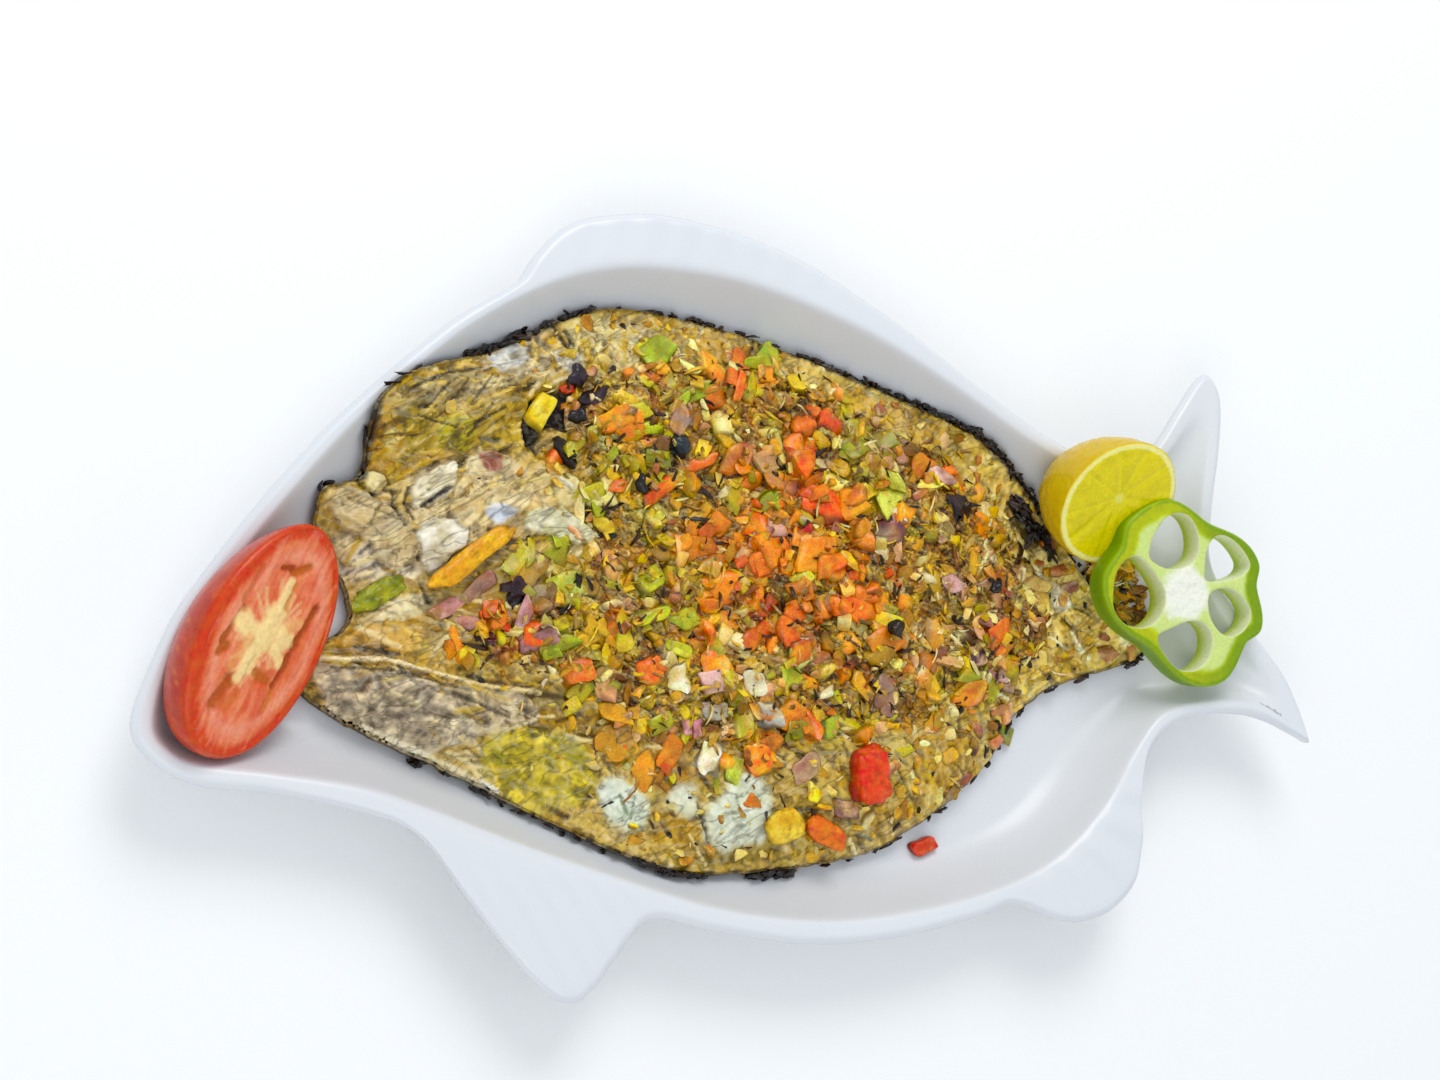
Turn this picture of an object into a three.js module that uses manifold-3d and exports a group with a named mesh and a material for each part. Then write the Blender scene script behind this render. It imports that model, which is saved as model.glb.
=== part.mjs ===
// A whole fish, split and opened flat, grilled under chopped vegetables and served in its
// fish-shaped platter with half a tomato, half a lemon and a ring of green pepper.
//
// Millimetres, +Z up. The platter's mouth points to -X, its tail to +X and its back fin to +Y.
// Its foot ring stands on z = 0, and the origin is the middle of the bottom of its box.

import * as THREE from "three";
import { mergeVertices } from "three/addons/utils/BufferGeometryUtils.js";
import Module from "manifold-3d";

const wasm = await Module();
wasm.setup();

// ---- platter: heights and thicknesses ----
const RIM_Z = 28; // top of the rim
const WELL_DEPTH = 23; // from the rim down to the floor of the well
const TAIL_DEPTH = 9; // the same in the tail, where the floor rises
const WALL_WIDTH = 24; // how far the curved wall reaches in from the rim
const TAIL_WALL_WIDTH = 10;
const TAIL_STARTS_X = 105; // the floor rises from here
const TAIL_LEVEL_X = 185; // to here
const WALL_CURVE = 2.2; // a higher power makes the wall steeper at the rim
const SHELL = 2.8; // thickness of the moulded shell
const EDGE_DROP = 1.8; // how far the rolled outer edge drops below the rim
const EDGE_ROLL = 1.6; // width of that roll
const EDGE_FACE = 2.6; // height of the outer edge's face
const FOOT = { x: -25, y: 2, radiusX: 128, radiusY: 62, width: 6, height: 3.2 };
const RIM_SAMPLE = 10; // spacing of the sections round the platter

// ---- food ----
const CONTACT_GAP = 0.35; // clear space left between touching pieces
const FISH_EDGE_THICK = 5; // at the trimmed edge of the opened fish
const FISH_THICK = 15; // in the middle of each fillet
const FISH_FLANK = 26; // how far in from the edge the full thickness is reached
const FISH_TAIL_THICK = 6;
const FLESH_RELIEF = 1.1; // height of the flakes
const HEAP_HEIGHT = 5.5; // of the chopped vegetables over the flesh, in the middle
const HEAP_EDGE = 1.6; // and at the heap's edge
const DICE_COUNT = 96;

// Stations number the platter's outline from the mouth along the back, round the tail and
// back along the belly. Each row is [station, x, y].
const STATIONS = 44;
const SILHOUETTE = [
  [0, -222.8, -27], // mouth
  [1, -214, -7],
  [2, -200, 14],
  [4, -151, 63],
  [5, -106, 96],
  [6, -78, 110.5],
  [6.3, -70, 120], // back fin
  [6.7, -58, 129.5],
  [7.3, -42, 133.3],
  [8, -16, 132.5],
  [9, 26, 118.5],
  [10, 66, 92],
  [11, 95, 68],
  [12, 122, 47],
  [13, 148, 32.5],
  [14, 161, 31], // upper side of the tail root
  [15, 174, 40],
  [16, 187, 53.5],
  [17, 200.5, 65.5], // upper lobe of the tail
  [17.5, 205.5, 61.5],
  [18, 206.5, 53],
  [19, 202, 35],
  [20, 193.5, 10],
  [21, 190, -9], // notch
  [22, 198, -27],
  [23, 208.5, -43],
  [24, 217, -58],
  [25, 222.5, -80.5], // lower lobe
  [25.4, 218, -78.5],
  [26, 205, -71],
  [27, 191, -66.5],
  [28, 172, -65],
  [29, 156, -69.5],
  [29.6, 147, -78],
  [30.1, 141.5, -93], // anal fin
  [30.6, 139.5, -107],
  [31, 135.5, -119],
  [31.4, 126, -129],
  [31.9, 111, -133.6],
  [32.3, 99, -132],
  [32.8, 81, -123.6],
  [33.2, 66, -126],
  [34, 33, -128.5],
  [35, -2, -126],
  [36, -37, -116.5],
  [36.6, -56, -109.5],
  [37, -64, -111], // belly fin
  [37.5, -74, -120],
  [38, -84, -129.5],
  [38.4, -92.5, -132],
  [38.7, -101, -125],
  [39, -111, -111],
  [39.3, -122, -93],
  [39.7, -132, -75.5],
  [40, -142, -66.5],
  [41, -178, -53.5],
  [42, -204, -47.5],
  [43, -217, -39],
];
// The inner edge of the rim, where the well begins.
const RIM = [
  [0, -216, -27],
  [1, -208, -6],
  [2, -193, 13],
  [4, -145, 61],
  [5, -103, 92],
  [6, -70, 108],
  [7, -45, 114],
  [8, -20, 113.5],
  [9, 14, 106],
  [10, 54, 88],
  [11, 86, 67],
  [12, 118, 43],
  [13, 145, 27],
  [14, 160, 25],
  [15, 175, 33.5],
  [16, 188, 47],
  [17, 198, 58],
  [18, 200.5, 50],
  [19, 196, 34],
  [20, 187.5, 10],
  [21, 183.5, -11],
  [22, 191.5, -30],
  [23, 202.5, -46],
  [24, 211, -60],
  [25, 215.5, -73],
  [26, 204, -65.5],
  [27, 191, -61.5],
  [28, 172, -60],
  [29, 156, -63],
  [30, 141, -76],
  [31, 125, -94],
  [32, 101, -110],
  [33, 70, -118],
  [34, 33, -120.5],
  [35, 0, -118],
  [36, -35, -109],
  [37, -70, -94],
  [38, -102, -79],
  [39, -131, -64],
  [40, -153, -54],
  [41, -180, -46.5],
  [42, -203, -41],
  [43, -212, -35.5],
];
// A thin loop along the middle of the well and of each tail lobe, where opposite sections meet.
const KEEL = [
  [0, -176, -26],
  [2, -162, -14],
  [4, -126, -5],
  [6, -66, -2],
  [10, 40, -4],
  [12, 100, -8],
  [14, 150, -10],
  [15, 167, 2],
  [16, 180, 24],
  [17, 192, 46],
  [18, 193, 43],
  [19, 187, 26],
  [20, 175, 4],
  [21, 167, -14],
  [22, 178, -34],
  [23, 192, -51],
  [24, 204, -63],
  [25, 208, -68],
  [26, 197, -61],
  [27, 182, -49],
  [28, 162, -37],
  [30, 122, -32],
  [34, 28, -34],
  [38, -98, -32],
  [40, -138, -30],
  [42, -170, -28.5],
];

// The fish's outline from the tip of the lower head half, up over the head, along the back edge
// to the tail and back along the belly edge. Each row is [station, x, y].
const FISH_STATIONS = 29;
const FISH_OUTLINE = [
  [0, -166, -19],
  [1, -159, -7],
  [2, -147, 2],
  [3, -148, 16], // torn gill plates between the two head halves
  [4, -155, 32],
  [5, -152, 45],
  [6, -138, 50],
  [7, -136, 62],
  [8, -133, 73], // upper head half
  [9, -117, 82],
  [10, -84, 91],
  [11, -46, 103],
  [12, -12, 99],
  [13, 30, 85],
  [14, 86, 57],
  [15, 112, 37],
  [16, 130, 14],
  [17, 141, -10],
  [18, 156, -32], // tail
  [19, 154, -42],
  [20, 122, -48],
  [21, 102, -58],
  [22, 90, -72],
  [23, 62, -89],
  [24, 26, -100],
  [25, -34, -98],
  [26, -66, -86],
  [27, -117, -54],
  [28, -150, -34],
];
const FISH_SPINE = [
  [0, -112, -6],
  [4, -112, 8],
  [8, -92, 14],
  [13, 20, 8],
  [16, 100, -8],
  [19, 112, -16],
  [22, 60, -16],
  [27, -70, -16],
];
// Swellings and hollows of the opened fish: centre, half sizes, turn in degrees and height.
const FISH_FORMS = [
  { x: -102, y: 70, halfX: 42, halfY: 17, turn: 20, height: 7 }, // upper head half
  { x: -118, y: -34, halfX: 52, halfY: 15, turn: -22, height: 7 }, // lower head half
  { x: -118, y: 10, halfX: 26, halfY: 15, turn: -15, height: -6 }, // hollow of the gills
  { x: -70, y: 58, halfX: 10, halfY: 17, turn: 0, height: -5 }, // slit behind the upper gill cover
];

// The heap of chopped vegetables.
const HEAP_STATIONS = 15;
const HEAP_SPREAD = { x: 12, y: 11, halfX: 112, halfY: 72 }; // the oval that holds its dice
const HEAP_OUTLINE = [
  [0, -114, -13],
  [1, -92, 3],
  [2, -66, 17],
  [3, -62, 46],
  [4, -62, 70],
  [5, -32, 86],
  [6, 12, 82],
  [7, 56, 61],
  [8, 99, 31],
  [9, 124, -9],
  [10, 116, -36],
  [11, 70, -57],
  [12, 12, -60],
  [13, -46, -56],
  [14, -80, -28],
];
const HEAP_SPINE = [
  [0, -62, -4],
  [2, -44, 8],
  [7, 50, 14],
  [9, 74, 0],
  [11, 50, -16],
  [13, -36, -14],
];

// Pieces that lie apart from the heap: place, size, turn and colour.
const RED = 0xd23a22;
const ORANGE = 0xe0701e;
const YELLOW = 0xd9a31a;
const GREEN = 0x8fae2a;
const LOOSE_PIECES = [
  { name: "tomato_chunk", x: 32, y: -71, sizeX: 15, sizeY: 21, height: 11, turn: -8, colour: RED },
  { name: "tomato_piece_belly", x: 14, y: -89, sizeX: 15, sizeY: 9, height: 7, turn: -25, colour: ORANGE },
  { name: "pepper_piece_belly", x: -4, y: -84, sizeX: 15, sizeY: 11, height: 7, turn: 10, colour: YELLOW },
  { name: "yellow_piece_gill", x: -77, y: 66, sizeX: 8, sizeY: 13, height: 7, turn: -30, colour: YELLOW },
  { name: "green_leaf_head", x: -138, y: 7, sizeX: 16, sizeY: 7, height: 5, turn: 15, colour: GREEN },
];
const YELLOW_STRIP = { x: -104, y: 17, sizeX: 35, sizeY: 8, height: 6, turn: 31, colour: YELLOW };
const FALLEN_PIECE = { x: 58, y: -99, sizeX: 10, sizeY: 6, height: 5, turn: 15, colour: RED };

// Garnish: the middle of each cut face, its turn from +X and its lean to that line's right.
const TOMATO = { x: -179, y: -5.5, z: 33.5, turn: 55, lean: 36 };
const TOMATO_SIZE = { halfLength: 40.5, halfWidth: 26, depth: 26, skew: -5 };
const LEMON = { x: 139.5, y: 15.5, z: 44, turn: 4, lean: 36 };
const LEMON_SIZE = { radius: 24.5, halfLength: 30, nub: 4.5 };
const LEMON_AXIS = [-0.55, 0.36, -0.75]; // from the middle of the cut face to the nub
const PEPPER = { x: 165.7, y: -18.2, z: 29.5, turn: 0, lean: 8 };
const PEPPER_THICK = 10.5;
// The pepper ring's outline: direction in degrees and radius, at its lobes and waists.
const PEPPER_OUTLINE = [
  [-131, 25.5],
  [-66, 38],
  [-39, 34.5],
  [-26, 38.5],
  [0, 34],
  [13, 36.8],
  [61, 29],
  [104, 36.5],
  [128, 36.5],
  [144, 33],
  [168, 36.5],
];
// Its chambers: middle, half sizes and turn.
const PEPPER_CHAMBERS = [
  { x: -21.5, y: 1.5, halfX: 8.5, halfY: 11.5, turn: -8 },
  { x: -5, y: 19.2, halfX: 10.5, halfY: 9, turn: 0 },
  { x: 22.5, y: 11, halfX: 9.5, halfY: 6.2, turn: -48 },
  { x: 20.7, y: -9.8, halfX: 7.5, halfY: 8.2, turn: 12 },
  { x: -1, y: -18.8, halfX: 10.5, halfY: 8.2, turn: 15 },
];

// ---- small helpers ----

const radians = THREE.MathUtils.degToRad;

function mix(from, to, share) {
  return from + (to - from) * share;
}

// A repeatable stream of numbers from 0 to 1.
function randomStream(seed) {
  let state = seed;
  return () => {
    state = (state + 0x6d2b79f5) | 0;
    let t = Math.imul(state ^ (state >>> 15), 1 | state);
    t = (t + Math.imul(t ^ (t >>> 7), 61 | t)) ^ t;
    return ((t ^ (t >>> 14)) >>> 0) / 4294967296;
  };
}

// A smooth closed curve through rows of [station, x, y]; it gives [x, y] at any station.
function closedCurve(rows, stations) {
  const rowAt = (index) => {
    const turns = Math.floor(index / rows.length);
    const [station, x, y] = rows[index - turns * rows.length];
    return [station + turns * stations, x, y];
  };
  return (station) => {
    const s = THREE.MathUtils.euclideanModulo(station, stations);
    let index = rows.length - 1;
    while (rows[index][0] > s) index -= 1;
    const [before, from, to, after] = [-1, 0, 1, 2].map((step) => rowAt(index + step));
    const span = to[0] - from[0];
    const t = (s - from[0]) / span;
    return [1, 2].map((axis) => {
      const slopeIn = ((to[axis] - before[axis]) / (to[0] - before[0])) * span;
      const slopeOut = ((after[axis] - from[axis]) / (after[0] - from[0])) * span;
      const rise = to[axis] - from[axis];
      const bend = slopeIn + slopeOut - 2 * rise;
      return from[axis] + t * (slopeIn + t * (rise - slopeIn + (t - 1) * bend));
    });
  };
}

// Station numbers for sections round a curve, about `spacing` apart and through every row.
function sectionStations(rows, stations, spacing) {
  const curve = closedCurve(rows, stations);
  const found = [];
  rows.forEach(([start], index) => {
    const end = index + 1 < rows.length ? rows[index + 1][0] : stations;
    const [ax, ay] = curve(start);
    const [bx, by] = curve(end);
    const parts = Math.max(1, Math.round(Math.hypot(bx - ax, by - ay) / spacing));
    for (let part = 0; part < parts; part += 1) {
      found.push(mix(start, end, part / parts));
    }
  });
  return found;
}

// The loops through the same point of every section.
function loopsOf(sections) {
  return sections[0].map((_, level) => sections.map((section) => section[level]));
}

// Distance from a point to a closed polyline.
function distanceTo(loop, x, y) {
  let best = Infinity;
  loop.forEach(([ax, ay], index) => {
    const [bx, by] = loop[(index + 1) % loop.length];
    const lengthSquared = (bx - ax) ** 2 + (by - ay) ** 2;
    const along = ((x - ax) * (bx - ax) + (y - ay) * (by - ay)) / lengthSquared;
    const t = THREE.MathUtils.clamp(along, 0, 1);
    best = Math.min(best, Math.hypot(x - mix(ax, bx, t), y - mix(ay, by, t)));
  });
  return best;
}

// Smooth bumps of about one unit, from crossing waves.
function roughness(x, y) {
  return (
    0.5 * Math.sin(x * 0.21 + 2.1 * Math.sin(y * 0.13)) +
    0.35 * Math.sin(y * 0.34 - 1.3 + 1.7 * Math.sin(x * 0.17)) +
    0.25 * Math.sin((x + y) * 0.45 + 0.6)
  );
}

function manifoldOf(geometry) {
  const bare = new THREE.BufferGeometry();
  bare.setAttribute("position", geometry.getAttribute("position"));
  bare.setIndex(geometry.index);
  const merged = mergeVertices(bare, 1e-4);
  return new wasm.Manifold(
    new wasm.Mesh({
      numProp: 3,
      vertProperties: merged.attributes.position.array,
      triVerts: new Uint32Array(merged.index.array),
    }),
  );
}

function geometryOf(solid) {
  const mesh = solid.getMesh();
  const geometry = new THREE.BufferGeometry();
  geometry.setAttribute("position", new THREE.BufferAttribute(mesh.vertProperties, 3));
  geometry.setIndex(new THREE.BufferAttribute(mesh.triVerts, 1));
  geometry.computeVertexNormals();
  return geometry;
}

function signedArea(loop) {
  return loop.reduce((sum, [x, y], index) => {
    const [nextX, nextY] = loop[(index + 1) % loop.length];
    return sum + (x * nextY - nextX * y) / 2;
  }, 0);
}

// Splits a loop into triangles, always taking the corner with the shortest cut across it.
function fillLoop(loop) {
  const left = loop.map((_, index) => index);
  const triangles = [];
  const turn = (a, b, c) =>
    (loop[b][0] - loop[a][0]) * (loop[c][1] - loop[a][1]) -
    (loop[b][1] - loop[a][1]) * (loop[c][0] - loop[a][0]);
  while (left.length > 3) {
    let best = { length: Infinity };
    left.forEach((corner, place) => {
      const before = left[(place + left.length - 1) % left.length];
      const after = left[(place + 1) % left.length];
      const length = Math.hypot(loop[after][0] - loop[before][0], loop[after][1] - loop[before][1]);
      if (length >= best.length || turn(before, corner, after) <= 1e-6) return;
      const holdsAnother = left.some(
        (other) =>
          ![before, corner, after].includes(other) &&
          turn(before, corner, other) >= 0 &&
          turn(corner, after, other) >= 0 &&
          turn(after, before, other) >= 0,
      );
      if (!holdsAnother) best = { length, place, triangle: [before, corner, after] };
    });
    triangles.push(best.triangle);
    left.splice(best.place, 1);
  }
  return [...triangles, left];
}

// A closed solid from loops of equal length, stacked from the middle of its underside, out to
// its widest loop and in again to the middle of its top.
function loft(loops) {
  const count = loops[0].length;
  const ordered = signedArea(loops[0]) > 0 ? loops : loops.map((loop) => [...loop].reverse());
  const triangles = [];
  for (let level = 0; level + 1 < ordered.length; level += 1) {
    for (let i = 0; i < count; i += 1) {
      const next = (i + 1) % count;
      const [a, b] = [level * count + i, level * count + next];
      const [c, d] = [a + count, b + count];
      triangles.push(a, b, d, a, d, c);
    }
  }
  const addCap = (level, facesUp) => {
    fillLoop(ordered[level]).forEach((corners) => {
      const face = facesUp ? corners : [...corners].reverse();
      triangles.push(...face.map((i) => level * count + i));
    });
  };
  addCap(0, false);
  addCap(ordered.length - 1, true);
  const geometry = new THREE.BufferGeometry();
  geometry.setAttribute("position", new THREE.Float32BufferAttribute(ordered.flat(2), 3));
  geometry.setIndex(triangles);
  return manifoldOf(geometry);
}

// What lies on a lower piece is cut to its shape, with the contact gap between them.
function restOn(solid, ...supports) {
  return supports.reduce((cut, support) => {
    const lifted = support.translate([0, 0, CONTACT_GAP]);
    return cut.subtract(support).subtract(lifted);
  }, solid);
}

function largestBody(solid) {
  const bodies = solid.decompose();
  return bodies.reduce((best, body) => (body.volume() > best.volume() ? body : best));
}

// ---- platter ----

const silhouette = closedCurve(SILHOUETTE, STATIONS);
const rim = closedCurve(RIM, STATIONS);
const keel = closedCurve(KEEL, STATIONS);
const rimLoop = sectionStations(RIM, STATIONS, 4).map(rim);

function tailShare(x) {
  return THREE.MathUtils.smoothstep(x, TAIL_STARTS_X, TAIL_LEVEL_X);
}

function bowl(share) {
  return 1 - (1 - Math.min(1, share)) ** WALL_CURVE;
}

// Height of the well's surface at a point inside the rim.
function wellTop(x, y) {
  const depth = mix(WELL_DEPTH, TAIL_DEPTH, tailShare(x));
  const width = mix(WALL_WIDTH, TAIL_WALL_WIDTH, tailShare(x));
  return RIM_Z - depth * bowl(distanceTo(rimLoop, x, y) / width);
}

// The underside follows the well a shell's thickness below it.
function wellUnderside(x, y) {
  const depth = mix(WELL_DEPTH, TAIL_DEPTH, tailShare(x));
  const width = mix(WALL_WIDTH, TAIL_WALL_WIDTH, tailShare(x));
  const distance = distanceTo(rimLoop, x, y) + SHELL * 0.7;
  return RIM_Z - SHELL - depth * bowl(distance / (width + 1));
}

// One section of the platter, from the middle of its underside out to the edge and back in.
const EDGE_LEVEL = 5; // the first point of the upper surface
function platterSection(station) {
  const [outerX, outerY] = silhouette(station);
  const [rimX, rimY] = rim(station);
  const [keelX, keelY] = keel(station);
  const [aheadX, aheadY] = rim(station + 0.05);
  const flange = Math.hypot(rimX - outerX, rimY - outerY);
  const reach = Math.hypot(keelX - rimX, keelY - rimY);
  const tangent = Math.hypot(aheadX - rimX, aheadY - rimY);
  const cross = (aheadX - rimX) * (keelY - rimY) - (aheadY - rimY) * (keelX - rimX);
  const squareness = Math.abs(cross) / (tangent * reach);
  const width = mix(WALL_WIDTH, TAIL_WALL_WIDTH, tailShare(rimX));
  const onFlange = (distance) => {
    const share = distance / flange;
    return [mix(outerX, rimX, share), mix(outerY, rimY, share)];
  };
  const inWell = (wallShare) => {
    const share = Math.min((wallShare * width) / squareness / reach, 0.9 * wallShare ** 0.5);
    return [mix(rimX, keelX, share), mix(rimY, keelY, share)];
  };
  const above = ([x, y]) => [x, y, wellTop(x, y)];
  const below = ([x, y]) => [x, y, wellUnderside(x, y)];
  const edgeZ = RIM_Z - EDGE_DROP;
  return [
    below([keelX, keelY]),
    below(inWell(1)),
    below(inWell(0.4)),
    [...onFlange(flange - SHELL * 0.7), RIM_Z - SHELL],
    [outerX, outerY, edgeZ - EDGE_FACE],
    [outerX, outerY, edgeZ],
    [...onFlange(EDGE_ROLL), RIM_Z - 0.3],
    [rimX, rimY, RIM_Z],
    above(inWell(0.15)),
    above(inWell(0.45)),
    above(inWell(1)),
    above([keelX, keelY]),
  ];
}

function footRing() {
  const { x, y, radiusX, radiusY, width, height } = FOOT;
  const ellipse = (inset, z) =>
    Array.from({ length: 40 }, (_, i) => {
      const angle = (i / 40) * 2 * Math.PI;
      return [x + (radiusX - inset) * Math.cos(angle), y + (radiusY - inset) * Math.sin(angle), z];
    });
  const disc = loft([ellipse(0, 0), ellipse(0.6, height)]);
  const hollow = loft([ellipse(width, -1), ellipse(width - 0.6, height + 1)]);
  return disc.subtract(hollow);
}

const platterSections = sectionStations(SILHOUETTE, STATIONS, RIM_SAMPLE).map(platterSection);
const platterLoops = loopsOf(platterSections);

function makePlatter() {
  return loft(platterLoops).add(footRing());
}

// Everything below the platter's upper surface, to trim what lies in it.
function makePlatterBed() {
  const upper = platterLoops.slice(EDGE_LEVEL);
  const lowest = upper[0].map(([x, y]) => [x, y, -60]);
  return loft([lowest, ...upper]).translate([0, 0, CONTACT_GAP]);
}

// ---- fish ----

const fishOutline = closedCurve(FISH_OUTLINE, FISH_STATIONS);
const fishSpine = closedCurve(FISH_SPINE, FISH_STATIONS);
const fishLoop = sectionStations(FISH_OUTLINE, FISH_STATIONS, 6).map(fishOutline);

// A rounded swelling that fades out at its own edge.
function swelling(form, x, y) {
  const turn = radians(form.turn);
  const along = (x - form.x) * Math.cos(turn) + (y - form.y) * Math.sin(turn);
  const across = (y - form.y) * Math.cos(turn) - (x - form.x) * Math.sin(turn);
  const share = 1 - Math.hypot(along / form.halfX, across / form.halfY);
  return form.height * THREE.MathUtils.smoothstep(share, 0, 0.8);
}

function fishTop(x, y) {
  const inward = distanceTo(fishLoop, x, y);
  const full = mix(FISH_THICK, FISH_TAIL_THICK, THREE.MathUtils.smoothstep(x, 70, 150));
  const rise = 1 - (1 - Math.min(1, inward / FISH_FLANK)) ** 2;
  const forms = FISH_FORMS.reduce((sum, form) => sum + swelling(form, x, y), 0);
  const edge = Math.min(1, inward / 6);
  const relief = FLESH_RELIEF * edge * roughness(x, y);
  return wellTop(x, y) + mix(FISH_EDGE_THICK, full, rise) + (forms * Math.min(1, inward / 8)) + relief;
}

function fishSection(station) {
  const [edgeX, edgeY] = fishOutline(station);
  const [spineX, spineY] = fishSpine(station);
  const at = (share) => [mix(edgeX, spineX, share), mix(edgeY, spineY, share)];
  const above = ([x, y]) => [x, y, fishTop(x, y)];
  const below = ([x, y]) => [x, y, wellTop(x, y) - 1];
  const [insetX, insetY] = at(0.02);
  return [
    below([spineX, spineY]),
    below(at(0.4)),
    below(at(0.12)),
    [edgeX, edgeY, wellTop(edgeX, edgeY) - 1],
    [edgeX, edgeY, wellTop(edgeX, edgeY) + FISH_EDGE_THICK * 0.55],
    [insetX, insetY, wellTop(insetX, insetY) + FISH_EDGE_THICK],
    above(at(0.09)),
    above(at(0.2)),
    above(at(0.34)),
    above(at(0.5)),
    above(at(0.7)),
    above([spineX, spineY]),
  ];
}

function makeFish(bed) {
  const sections = sectionStations(FISH_OUTLINE, FISH_STATIONS, 11).map(fishSection);
  return largestBody(loft(loopsOf(sections)).subtract(bed));
}

// ---- chopped vegetables ----

const heapOutline = closedCurve(HEAP_OUTLINE, HEAP_STATIONS);
const heapSpine = closedCurve(HEAP_SPINE, HEAP_STATIONS);
const heapLoop = sectionStations(HEAP_OUTLINE, HEAP_STATIONS, 6).map(heapOutline);

function heapTop(x, y) {
  const share = Math.min(1, distanceTo(heapLoop, x, y) / 30);
  return fishTop(x, y) + mix(HEAP_EDGE, HEAP_HEIGHT, share * (2 - share));
}

function heapSection(station) {
  const [edgeX, edgeY] = heapOutline(station);
  const [spineX, spineY] = heapSpine(station);
  const at = (share) => [mix(edgeX, spineX, share), mix(edgeY, spineY, share)];
  const above = ([x, y]) => [x, y, heapTop(x, y)];
  const below = ([x, y]) => [x, y, fishTop(x, y) - 2.5];
  return [
    below([spineX, spineY]),
    below(at(0.3)),
    [edgeX, edgeY, fishTop(edgeX, edgeY) - 2.5],
    [edgeX, edgeY, fishTop(edgeX, edgeY) + HEAP_EDGE * 0.5],
    above(at(0.08)),
    above(at(0.28)),
    above(at(0.6)),
    above([spineX, spineY]),
  ];
}

// A cut cube of vegetable with slightly uneven corners.
function dice(random, sizeX, sizeY, sizeZ, turn, tilt, x, y, z) {
  const geometry = mergeVertices(bareBox(sizeX, sizeY, sizeZ), 1e-4);
  const position = geometry.getAttribute("position");
  for (let i = 0; i < position.count; i += 1) {
    position.setXYZ(
      i,
      position.getX(i) * mix(0.75, 1.1, random()),
      position.getY(i) * mix(0.75, 1.1, random()),
      position.getZ(i) * mix(0.8, 1.1, random()),
    );
  }
  const placed = new THREE.Matrix4().makeRotationFromEuler(
    new THREE.Euler(tilt * (random() - 0.5), tilt * (random() - 0.5), turn),
  );
  geometry.applyMatrix4(placed.setPosition(x, y, z));
  return manifoldOf(geometry);
}

function bareBox(sizeX, sizeY, sizeZ) {
  const box = new THREE.BoxGeometry(sizeX, sizeY, sizeZ);
  box.deleteAttribute("normal");
  box.deleteAttribute("uv");
  return box;
}

// Diced pieces lie over the whole heap, spread evenly by the golden angle.
function makeHeap(fish) {
  const random = randomStream(7);
  const sections = sectionStations(HEAP_OUTLINE, HEAP_STATIONS, 13).map(heapSection);
  let heap = loft(loopsOf(sections));
  const goldenAngle = Math.PI * (3 - Math.sqrt(5));
  for (let i = 0; i < DICE_COUNT; i += 1) {
    const angle = i * goldenAngle;
    const spread = Math.sqrt((i + 0.5) / DICE_COUNT);
    const x = HEAP_SPREAD.x + HEAP_SPREAD.halfX * spread * Math.cos(angle);
    const y = HEAP_SPREAD.y + HEAP_SPREAD.halfY * spread * Math.sin(angle);
    const [sizeX, sizeY, sizeZ] = [mix(7, 12, random()), mix(6, 9, random()), mix(5, 8, random())];
    const inside = insideLoop(heapLoop, x, y) && distanceTo(heapLoop, x, y) > 4;
    const turn = random() * Math.PI;
    if (inside) {
      heap = heap.add(dice(random, sizeX, sizeY, sizeZ, turn, 0.9, x, y, heapTop(x, y) - 0.4));
    }
  }
  return largestBody(restOn(heap, fish));
}

function insideLoop(loop, x, y) {
  let inside = false;
  loop.forEach(([ax, ay], index) => {
    const [bx, by] = loop[(index + 1) % loop.length];
    if (ay > y !== by > y && x < ((bx - ax) * (y - ay)) / (by - ay) + ax) inside = !inside;
  });
  return inside;
}

// A soft-cornered chunk, its sides squarer than a ball's.
function chunk({ x, y, sizeX, sizeY, height, turn }, z, lean = 0) {
  const ball = new THREE.SphereGeometry(0.5, 10, 6);
  ball.deleteAttribute("normal");
  ball.deleteAttribute("uv");
  const geometry = mergeVertices(ball, 1e-4);
  const position = geometry.getAttribute("position");
  const squarer = (value) => Math.sign(value) * Math.abs(2 * value) ** 0.7 * 0.5;
  for (let i = 0; i < position.count; i += 1) {
    position.setXYZ(
      i,
      squarer(position.getX(i)) * sizeX,
      squarer(position.getY(i)) * sizeY,
      squarer(position.getZ(i)) * height,
    );
  }
  const placed = new THREE.Matrix4().makeRotationFromEuler(new THREE.Euler(0, radians(lean), radians(turn)));
  geometry.applyMatrix4(placed.setPosition(x, y, z));
  return manifoldOf(geometry);
}

// ---- garnish ----

// Moves a solid built round the origin to its spot, turned about Z and leaning to one side.
function place(solid, { x, y, z, turn, lean }) {
  const geometry = geometryOf(solid);
  geometry.applyMatrix4(new THREE.Matrix4().makeRotationX(radians(lean)));
  geometry.applyMatrix4(new THREE.Matrix4().makeRotationZ(radians(turn)));
  geometry.applyMatrix4(new THREE.Matrix4().makeTranslation(x, y, z));
  return manifoldOf(geometry);
}

function ovalLoop(count, halfX, halfY, z) {
  return Array.from({ length: count }, (_, i) => {
    const angle = (i / count) * 2 * Math.PI;
    return [halfX * Math.cos(angle), halfY * Math.sin(angle), z];
  });
}

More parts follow.
